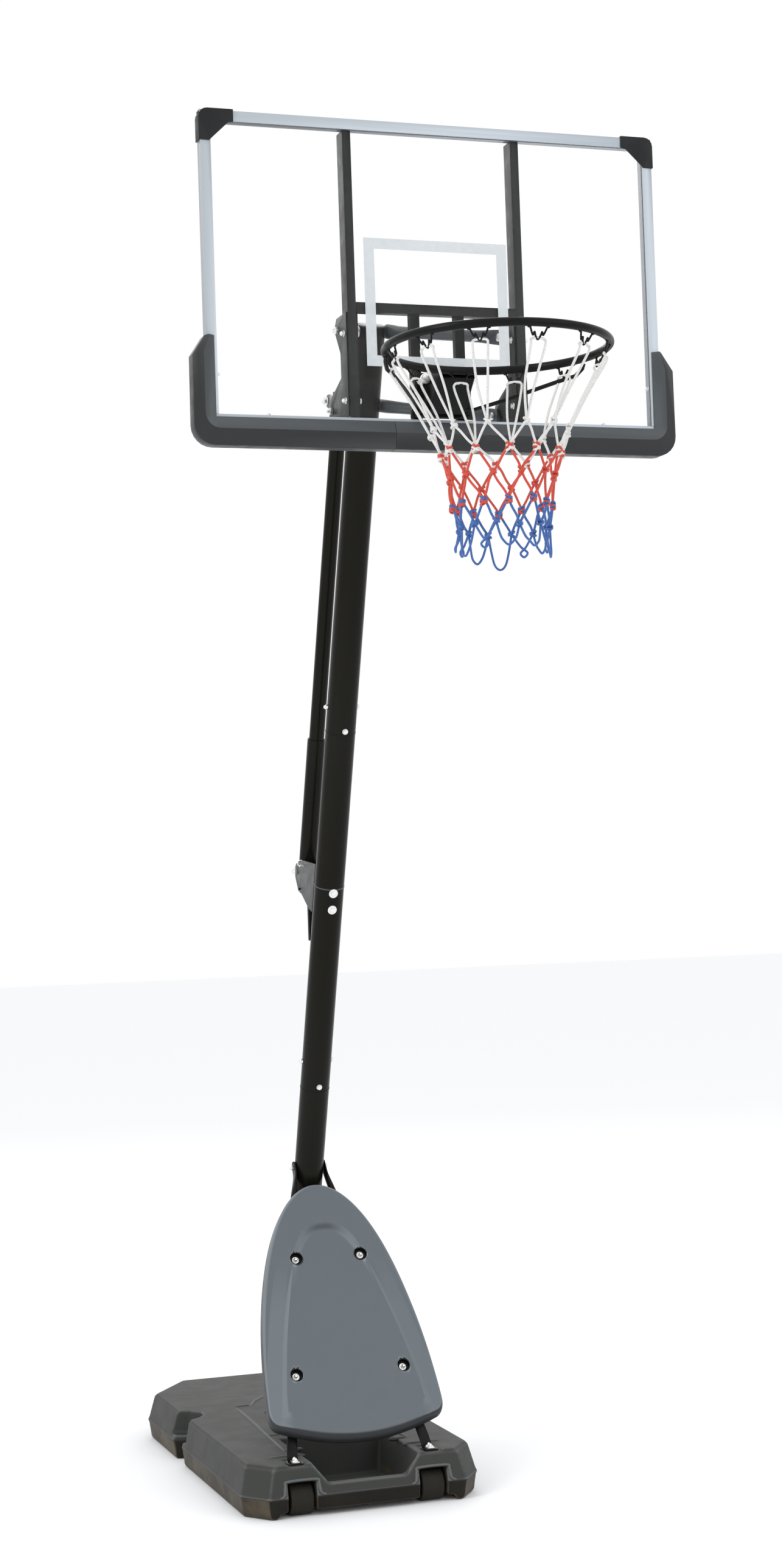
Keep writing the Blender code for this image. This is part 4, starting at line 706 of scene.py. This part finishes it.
# each row of knots: how far below the ring, its radius, and its shift round the ring in shares of a hook's
NET_ROWS = ((0.178, 0.147, 0.0), (0.224, 0.128, 0.5), (0.276, 0.113, 0.0), (0.329, 0.103, 0.5),
            (0.379, 0.096, 0.0))
STRAND_COLOURS = (0, 1, 1, 2)           # between one row of knots and the next: 0 white, 1 red, 2 blue
KNOT_COLOURS = ((0,), (1, 0), (1,), (2, 1), (2,))
KNOT_WIDE, KNOT_DEEP, KNOT_LIFT, KNOT_PITCH = 0.0050, 0.0040, 0.0016, 0.0062
NET_LOOP_DROP, NET_LOOP_R, CORD, THIN_CORD = 0.440, 0.092, 0.0027, 0.92
NET_HANG_IN, NET_GRIP = 0.011, 0.0145   # where the top loops pass the hooks: inside the ring, and half their width


def out_of_net(at):
    return Vector((at.x - RIM_CENTRE.x, at.y - RIM_CENTRE.y, 0)).normalized()


def net_strand(bm, a, b, slot, bow, twist):
    """A cord between two knots, bowed outwards and slightly twisted."""
    out = out_of_net((a + b) / 2)
    push, side = out * (bow * 0.85), out.cross((b - a).normalized()) * twist
    points = [a, a.lerp(b, 0.3) + push + side, a.lerp(b, 0.7) + push - side * 0.5, b]
    add_tube(bm, smooth_path(points, 5), CORD, 8, slot=slot)


def net_knot(bm, at, slot, size):
    """An overhand knot: two crossed turns of cord round the meeting strands."""
    out, turns = out_of_net(at), 12
    across = out.cross(Vector((0, 0, 1)))
    for way in (1, -1):
        ring = []
        for k in range(turns):
            a = 2 * math.pi * k / turns
            flat = across * (math.cos(a) * KNOT_WIDE * size) + out * (math.sin(a) * KNOT_DEEP * size)
            ring.append(at + flat + Vector((0, 0, way * (KNOT_LIFT + 0.6 * KNOT_WIDE * size * math.cos(a)))))
        add_tube(bm, ring, CORD * THIN_CORD, 8, closed=True, slot=slot)


def make_net():
    bm = bmesh.new()
    wander = random.Random(11)
    up = Vector((0, 0, 1))

    def knot_place(row, i):
        drop, radius, shift = NET_ROWS[row]
        jitter = Vector([wander.uniform(-1, 1) * 0.0035 for _ in range(3)])
        return round_rim(2 * math.pi * (i + shift) / HOOKS, radius, -drop) + jitter

    rows = [[knot_place(row, i) for i in range(HOOKS)] for row in range(len(NET_ROWS))]
    for i in range(HOOKS):
        angle = 2 * math.pi * i / HOOKS
        along = ring_along(angle)
        top = round_rim(angle, RIM_R - NET_HANG_IN, HOOK_TOP - HOOK_DROP - 0.001)
        goal, lean = rows[0][i], wander.uniform(-0.004, 0.004)
        legs = []
        for way in (-1, 1):
            end = top + along * (NET_GRIP * way)
            legs.append([goal, goal.lerp(end, 0.45) + along * (0.004 * way + lean),
                         end + along * (0.001 * way) - up * 0.012, end + up * 0.001])
        over = [top + along * (0.006 * way) + up * 0.004 for way in (-1, 1)]
        add_tube(bm, smooth_path(legs[0] + over + legs[1][::-1], 5), CORD, 8, slot=0)
    for row, slot in enumerate(STRAND_COLOURS):
        step = 1 if NET_ROWS[row][2] else -1
        for i in range(HOOKS):
            for j in (i, i + step):
                bow = wander.uniform(-0.003, 0.004)
                net_strand(bm, rows[row][i], rows[row + 1][j % HOOKS], slot, bow, wander.uniform(-0.002, 0.002))
    for row, slots in enumerate(KNOT_COLOURS):
        for i in range(HOOKS):
            for n, slot in enumerate(slots):
                net_knot(bm, rows[row][i] - up * (KNOT_PITCH * n), slot, 1.2 + wander.uniform(-0.1, 0.15))
    for i in range(HOOKS):
        a, b = rows[-1][i], rows[-1][(i + 1) % HOOKS]
        angle = 2 * math.pi * (i + 0.5) / HOOKS
        radius = NET_LOOP_R + wander.uniform(-0.010, 0.012)
        low = round_rim(angle, radius, -NET_LOOP_DROP + wander.uniform(-0.014, 0.018))
        side = ring_along(angle) * (-0.008 if i % 3 == 1 else 0.011)        # every third loop curls over
        rise = up * 0.009
        path = [a, a.lerp(low, 0.55) - side * 0.6, low - side + rise, low, low + side + rise,
                b.lerp(low, 0.55) + side * 0.6, b]
        add_tube(bm, smooth_path(path, 5), CORD * THIN_CORD, 8, slot=2)
    net = add_mesh("net_cords", bm, LOOKS["net"], 60)
    net.data.materials.append(LOOKS["net_red"])
    net.data.materials.append(LOOKS["net_blue"])
    stand_for(net, "net")


# ------------------------------------------------------------------ board
TARGET_HALF, TARGET_LOW, TARGET_HIGH, TARGET_BAND = 0.168, 2.677, 2.962, 0.024
TARGET_OFF, TARGET_T = 0.0002, 0.00015


def make_target():
    """The printed square on the board's face: a thin mitred band."""
    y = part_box("clear_panel")[0].y - TARGET_OFF
    bm = bmesh.new()
    rings = []
    for inset in (0, TARGET_BAND):
        half, z0, z1 = TARGET_HALF - inset, TARGET_LOW + inset, TARGET_HIGH - inset
        for depth in (0, TARGET_T):
            rings.append([bm.verts.new((x, y - depth, z)) for x, z in
                          ((-half, z0), (half, z0), (half, z1), (-half, z1))])
    back_out, front_out, back_in, front_in = rings
    for a, b in ((front_out, front_in), (back_in, back_out), (back_out, front_out), (front_in, back_in)):
        for i in range(4):
            j = (i + 1) % 4
            bm.faces.new((a[i], a[j], b[j], b[i]))
    band = add_mesh("target_band", bm, LOOKS["band"])
    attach(band, "backboard")


SCREW_R, SILL_SCREW_X, SIDE_SCREW_Z = 0.0025, 0.394, 2.649
MAST_BOLT_R, MAST_BOLTS = 0.0035, (("high", 2.752), ("low", 2.603))
RIM_NUT_R, RIM_NUT_WASHER = 0.0050, 0.0115


def make_board_fasteners():
    for side in ("left", "right"):
        low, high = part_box("rim_bolt_" + side)
        x, z = (low.x + high.x) / 2, (low.z + high.z) / 2
        fine_bolt("rim_nut_" + side, (x, low.y + 0.0075, z), (x, low.y + 0.0080, z), RIM_NUT_R,
                  BODY_OF["rim_bolt_" + side], 1.8, RIM_NUT_WASHER, False)
    low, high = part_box("frame_bottom")
    y, sill = (low.y + high.y) / 2, high.z
    for sign, side in ((-1, "left"), (1, "right")):
        x = sign * SILL_SCREW_X
        fine_bolt("sill_screw_" + side, (x, y, sill - 0.003), (x, y, sill), SCREW_R, "backboard")
        fine_bolt("side_screw_" + side, (sign * 0.512, y, SIDE_SCREW_Z), (sign * 0.5078, y, SIDE_SCREW_Z),
                  SCREW_R, "backboard")
        low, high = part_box("mast_" + side)
        middle, depth = abs(low.x + high.x) / 2, low.y + 0.020
        for row, z in MAST_BOLTS:
            fine_bolt("mast_bolt_%s_%s" % (row, side), (sign * (middle - 0.0145), depth, z),
                      (sign * (middle + 0.0140), depth, z), MAST_BOLT_R, "backboard")


FOOT_BOLT_R, FOOT_WASHER, FOOT_STAGGER = 0.0032, 0.0062, 0.004
FOOT_BOLTS = (("front", 0.0195, 1), ("rear", 0.0065, -1))     # name, distance from the node's rear, stagger


def make_foot_bolts():
    """Both bolts of a strut's foot, joined into one piece."""
    for side, sign in (("left", -1), ("right", 1)):
        node = "foot_bolts_" + side
        low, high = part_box(node)
        pair = []
        for at, back, way in FOOT_BOLTS:
            stud = Vector(((low.x + high.x) / 2 + sign * way * FOOT_STAGGER, high.y - back, low.z + 0.0135))
            pair.append(fine_bolt("foot_bolt_%s_%s" % (at, side), stud - Vector((0, 0, 0.003)), stud,
                                  FOOT_BOLT_R, "base", 1.6, FOOT_WASHER))
        bpy.ops.object.select_all(action="DESELECT")
        for obj in pair:
            obj.select_set(True)
        bpy.context.view_layer.objects.active = pair[0]
        bpy.ops.object.join()
        stand_for(pair[0], node)


# ------------------------------------------------------------------ front shield
SHIELD_MID, SHIELD_UP = Vector((0, -0.322, 0.582)), Vector((0, 0.600, 1)).normalized()
SHIELD_OUT = Vector((0, -SHIELD_UP.z, SHIELD_UP.y))
SHIELD_W, SHIELD_H, SHIELD_LOW, SHIELD_SAG = 0.230, 0.680, -0.435, 0.052
SHIELD_FRONT, SHIELD_DEPTH, SEAT_R = 0.0138, 0.0296, 0.0165
SHIELD_SEATS = (("upper", 0.0872, 0.0), ("lower", 0.1413, -0.310))
ARCH = [(0.0, 0.086), (0.030, 0.081), (0.055, 0.064), (0.078, 0.030), (0.100, -0.022), (0.122, -0.090),
        (0.141, -0.160), (0.158, -0.235), (0.172, -0.310), (0.184, -0.385), (0.192, -0.470), (0.196, -0.560)]


def shield_edge(steps):
    """Points round the outline, counter-clockwise from the lower right corner, with the corners rounded."""
    centre = SHIELD_LOW - 0.041         # of the ellipse that the sides follow
    start = math.asin((SHIELD_LOW - centre) / SHIELD_H)
    side = [(SHIELD_W * math.cos(a), centre + SHIELD_H * math.sin(a))
            for a in (start + (math.pi - 2 * start) * i / steps for i in range(steps + 1))]
    edge = side[0][0]
    sill = [(edge * t, SHIELD_LOW - SHIELD_SAG * (1 - t ** 2)) for t in (i / 12 - 1 for i in range(25))]
    corner = 0.020
    side = [p for p in side if math.dist(p, side[0]) > corner and math.dist(p, (-edge, SHIELD_LOW)) > corner]
    sill = [p for p in sill if math.dist(p, (edge, SHIELD_LOW)) > corner
            and math.dist(p, (-edge, SHIELD_LOW)) > corner]
    return (side + bent(side[-1], (-edge, SHIELD_LOW), sill[0]) + sill
            + bent(sill[-1], (edge, SHIELD_LOW), side[0]))


def bent(a, tip, b, steps=6):
    """The points between a and b of a curve that turns near the tip."""
    out = []
    for i in range(1, steps):
        t = i / steps
        out.append(tuple((1 - t) ** 2 * p + 2 * t * (1 - t) * q + t * t * r for p, q, r in zip(a, tip, b)))
    return out


ARCH_LINE = [(p.x, p.y) for p in
             smooth_path([(-ARCH[1][0], ARCH[1][1], 0)] + [(x, s, 0) for x, s in ARCH], 4)]


def inside_arch(x, s):
    """How far a point of the shield is inside the arch; negative outside it."""
    x = abs(x)
    best = 1.0
    for (x0, s0), (x1, s1) in zip(ARCH_LINE, ARCH_LINE[1:]):
        dx, ds = x1 - x0, s1 - s0
        t = min(max(((x - x0) * dx + (s - s0) * ds) / (dx * dx + ds * ds), 0.0), 1.0)
        gap = math.hypot(x - x0 - t * dx, s - s0 - t * ds)
        if gap < abs(best):
            best = gap if ds * (x - x0) - dx * (s - s0) > 0 else -gap
    return best


def smoothstep(t):
    t = min(max(t, 0.0), 1.0)
    return t * t * (3 - 2 * t)


BORDER_STEP, BORDER_SLOPE, BORDER_W, ARCH_DEPTH = 0.0022, 0.10, 0.045, 0.0055


def shield_height(x, s, rim):
    """The cover's front over the bolts' seats: rolled rim, sloping border and an arched panel."""
    low = smoothstep((-0.40 - s) / 0.06)
    roll = 0.009 + 0.011 * low
    height = SHIELD_FRONT
    if rim < roll:
        height -= roll - math.sqrt(max(roll * roll - (roll - rim) ** 2, 0))
    inside = inside_arch(x, s)
    down = smoothstep((0.115 - s) / 0.26)
    fade = 1 - smoothstep((-0.43 - s) / 0.07)
    drop = BORDER_STEP + BORDER_SLOPE * min(max(-inside, 0), BORDER_W)
    height -= (1 - smoothstep((inside + 0.003) / 0.006)) * down * fade * drop
    height -= smoothstep((inside + 0.012) / 0.028) * (1 - down) * ARCH_DEPTH
    return height


SEAT_BORE = 0.0046                      # clear of the bolt's shank


def bore_shield(obj, seat):
    """Cut the round hole that a bolt's cup sits in."""
    hole = lathe("hole", [(0, -0.05), (SEAT_R, -0.05), (SEAT_R, 0.03), (0, 0.03)], seat, SHIELD_OUT,
                 LOOKS["shield"], 48)
    mod = obj.modifiers.new("hole", "BOOLEAN")
    mod.operation, mod.object, mod.solver = "DIFFERENCE", hole, "EXACT"
    settle(obj)
    bpy.data.objects.remove(hole, do_unlink=True)


def make_shield():
    edge = shield_edge(110)
    hub = (0.0, -0.150)
    rings = [1 - 0.0040 * k for k in range(14)] + [0.944 - 0.0118 * k for k in range(79)]
    bm = bmesh.new()
    loops = []
    for share in rings:
        loop = []
        for x, s in edge:
            px, ps = hub[0] + (x - hub[0]) * share, hub[1] + (s - hub[1]) * share
            rim = (1 - share) * math.hypot(x - hub[0], s - hub[1])
            loop.append(bm.verts.new(SHIELD_MID + Vector((px, 0, 0)) + SHIELD_UP * ps
                                     + SHIELD_OUT * shield_height(px, ps, rim)))
        loops.append(loop)
    count = len(edge)
    base = SHIELD_FRONT - SHIELD_DEPTH
    skirt = [bm.verts.new(SHIELD_MID + Vector((x, 0, 0)) + SHIELD_UP * s + SHIELD_OUT * base) for x, s in edge]
    chain = [skirt] + loops
    for a, b in zip(chain, chain[1:]):
        for i in range(count):
            j = (i + 1) % count
            bm.faces.new((a[i], a[j], b[j], b[i]))
    bm.faces.new(loops[-1])
    obj = add_mesh("shield_finish", bm, LOOKS["shield"], 180)
    skin = obj.modifiers.new("skin", "SOLIDIFY")
    skin.thickness, skin.offset = 0.003, -1.0
    settle(obj)
    stand_for(obj, "shield")
    for row, x, s in SHIELD_SEATS:
        for side, sign in (("left", -1), ("right", 1)):
            seat = SHIELD_MID + Vector((sign * x, 0, 0)) + SHIELD_UP * s
            bore_shield(obj, seat)
            top = shield_height(x, s, 1.0)
            cup = [(SEAT_BORE, 0.0), (SEAT_R - 0.0024, 0.0), (SEAT_R - 0.0010, 0.0012),
                   (SEAT_R - 0.0004, top - 0.0020), (SEAT_R + 0.0004, top - 0.0004),
                   (SEAT_R + 0.0016, top + 0.0002), (SEAT_R + 0.0022, top - 0.0014), (SEAT_R + 0.0020, -0.0020),
                   (SEAT_BORE, -0.0020)]
            disc = [(SEAT_BORE, 0.0003), (0.0093, 0.0003), (0.0093, 0.0017), (0.0088, 0.0021), (SEAT_BORE, 0.0021)]
            for kind, profile, look, slot in (("cup", cup, "shield_cup_painted_shade", "shield"), ("washer", disc, "zinc", "zinc")):
                ring = lathe("shield_%s_%s_%s" % (kind, row, side), profile + profile[:1], seat, SHIELD_OUT,
                             LOOKS[look], 48)
                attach(ring, "base")


# ------------------------------------------------------------------ base
SEAM_Z, BEAD, WELL_TOP, BAY_X = 0.052, 0.0042, 0.086, 0.170
# one side of the bead over a wheel bay: distance from the bay's middle, and height
BAY_ARCH = ((0.058, SEAM_Z), (0.047, SEAM_Z + 0.006), (0.043, WELL_TOP - 0.006), (0.036, WELL_TOP + 0.003))
RIB_R, RIB_RISE = 0.0050, 0.0036
# the deck's ribs on one side, as points across and along the deck
RIBS = (((0.138, 0.13), (0.145, -0.06), (0.157, -0.28), (0.165, -0.44)),
        ((0.135, 0.155), (0.096, 0.155)),
        ((0.086, 0.045), (0.051, 0.045)),
        ((0.158, -0.245), (0.120, -0.245)),
        ((0.161, -0.43), (0.115, -0.43)),
        ((0.227, -0.50), (0.129, -0.50)),
        ((0.095, 0.14), (0.068, 0.20), (0.031, 0.245), (0.002, 0.26)))


def moulded_tank():
    """The tank's own shape softened all over, as blow-moulded walls are."""
    obj = add_mesh("base_tank_finish", clean_copy("base_tank"), LOOKS["moulded"], 180)
    skin = obj.modifiers.new("skin", "REMESH")
    skin.mode, skin.voxel_size, skin.use_smooth_shade = "VOXEL", 0.0036, True
    soft = obj.modifiers.new("soft", "SMOOTH")
    soft.factor, soft.iterations = 0.5, 7
    settle(obj)
    obj.data.shade_smooth()
    return stand_for(obj, "base_tank")


def wall_inset(z):
    """How far the wall stands in from the seam at this height."""
    return 0.003 + 0.015 * max(z - SEAM_Z, 0) / 0.067


def make_base():
    moulded_tank()
    low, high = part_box("base_tank")
    beads, ribs = bmesh.new(), bmesh.new()
    for sign in (-1, 1):
        arch = [(-x, z) for x, z in BAY_ARCH] + list(BAY_ARCH[::-1])
        path = [(sign * BAY_X + x, low.y + wall_inset(z) + 0.0012, z) for x, z in arch]
        add_tube(beads, smooth_path(path, 6), BEAD, 10)
        for points in RIBS:
            path = smooth_path([Vector((sign * x, y, high.z - RIB_R + RIB_RISE)) for x, y in points], 6)
            add_tube(ribs, path, RIB_R, 10, taper=lambda t: min(1.0, 0.45 + 6 * min(t, 1 - t)))
    for name, bm in (("base_seam", beads), ("deck_ribs", ribs)):
        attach(add_mesh(name, bm, LOOKS["moulded"], 60), "base")


# ------------------------------------------------------------------ the rest of the CAD pieces
ARM_TAIL, STUB_IN, STUB_OUT = 0.195, 0.0255, 0.0345


def finish_cad():
    edges = {                           # rounding: the nodes that have it
        0.0016: ("frame_left", "frame_right", "frame_top", "frame_bottom", "rear_crossbars", "mast_left",
                 "mast_right"),
        0.0030: ("pad_left", "pad_right"),
        0.0022: ("corner_cap_left", "corner_cap_right", "wheel_left", "wheel_right"),
        0.0008: ("rim_bracket", "rim_hinge_bar", "lift_bracket", "lock_lever", "filler_cap", "pole_cap"),
        0.0004: tuple(n for n in NODES if "bolt" in n or n in ("lock_pin", "wheel_axle_left", "wheel_axle_right")),
    }
    for width, names in edges.items():
        for name in names:
            rounded(name, width, 3 if width > 0.001 else 2)
    for name in ("upper_arm_left", "upper_arm_right", "lower_arm_left", "lower_arm_right", "strut_left",
                 "strut_right"):
        smoothed(name)
    joint = Vector(JOINTS["arm_raise"]["pos_m"])
    board = Vector(JOINTS["board_level"]["pos_m"])
    tail = joint + (joint - board).normalized() * ARM_TAIL
    for side, sign in (("left", -1), ("right", 1)):
        fine_bolt("lift_stub_" + side, tail + Vector((sign * STUB_IN, 0, 0)),
                  tail + Vector((sign * STUB_OUT, 0, 0)), 0.005, "lower_arms")


# ------------------------------------------------------------------ camera, light and floor
LENS, CAMERA_AT = 57.59, Vector((-1.8805, -6.5905, 1.5211))
YAW, TILT, ROLL = math.radians(18.5008), math.radians(2.4776), math.radians(-1.943)


def make_camera():
    """The camera turned by yaw, then tilt, then roll."""
    ahead = Vector((math.sin(YAW) * math.cos(TILT), math.cos(YAW) * math.cos(TILT), math.sin(TILT)))
    right = Vector((math.cos(YAW), -math.sin(YAW), 0))
    up = right.cross(ahead)
    across = right * math.cos(ROLL) + up * math.sin(ROLL)
    over = up * math.cos(ROLL) - right * math.sin(ROLL)
    camera = bpy.data.objects.new("camera", bpy.data.cameras.new("camera"))
    camera.data.lens = LENS
    camera.data.sensor_width = 36
    turn = Matrix((across, over, -ahead)).transposed().to_4x4()
    camera.matrix_world = Matrix.Translation(CAMERA_AT) @ turn
    bpy.context.scene.collection.objects.link(camera)
    bpy.context.scene.camera = camera


def area_light(name, at, target, size, power, colour=(1, 1, 1)):
    data = bpy.data.lights.new(name, "AREA")
    data.shape, data.size, data.size_y = "RECTANGLE", size[0], size[1]
    data.energy, data.color = power, colour
    obj = bpy.data.objects.new(name, data)
    obj.location = at
    obj.rotation_euler = (Vector(target) - Vector(at)).to_track_quat("-Z", "Y").to_euler()
    bpy.context.scene.collection.objects.link(obj)


FLOOR_SIZE = 40


def make_stage():
    world = bpy.data.worlds.new("soft_white")
    world.use_nodes = True
    world.node_tree.nodes["Background"].inputs["Color"].default_value = (1.0, 1.0, 1.0, 1)
    world.node_tree.nodes["Background"].inputs["Strength"].default_value = 1.0
    bpy.context.scene.world = world
    bpy.context.scene.view_settings.view_transform = "Standard"
    area_light("sky_left", (-5.5, -3.0, 5.0), (0, -0.7, 1.6), (1.1, 5), 130)
    area_light("sky_front", (3.5, -6.5, 4.5), (0, -0.9, 1.8), (4, 4), 60)
    area_light("sky_back", (1.5, 6.0, 6.0), (0, 0, 1.5), (5, 5), 90)
    bm = bmesh.new()
    bmesh.ops.create_grid(bm, x_segments=2, y_segments=2, size=FLOOR_SIZE)
    pale = Look("pale_floor", (0.93, 0.945, 0.96), 0.9)
    pale.tint(pale.times(pale.noise(1.5, 3), 0.3), (0.95, 0.96, 0.97))
    pale.set(Specular_IOR_Level=0.1)
    floor = add_mesh("floor", bm, pale.bump(pale.noise(40, 3), 0.0005, 0.1).mat)


paint_cad()
make_tubes()
make_rim()
make_springs()
make_net()
make_target()
make_board_fasteners()
make_foot_bolts()
make_shield()
make_base()
finish_cad()
make_camera()
make_stage()
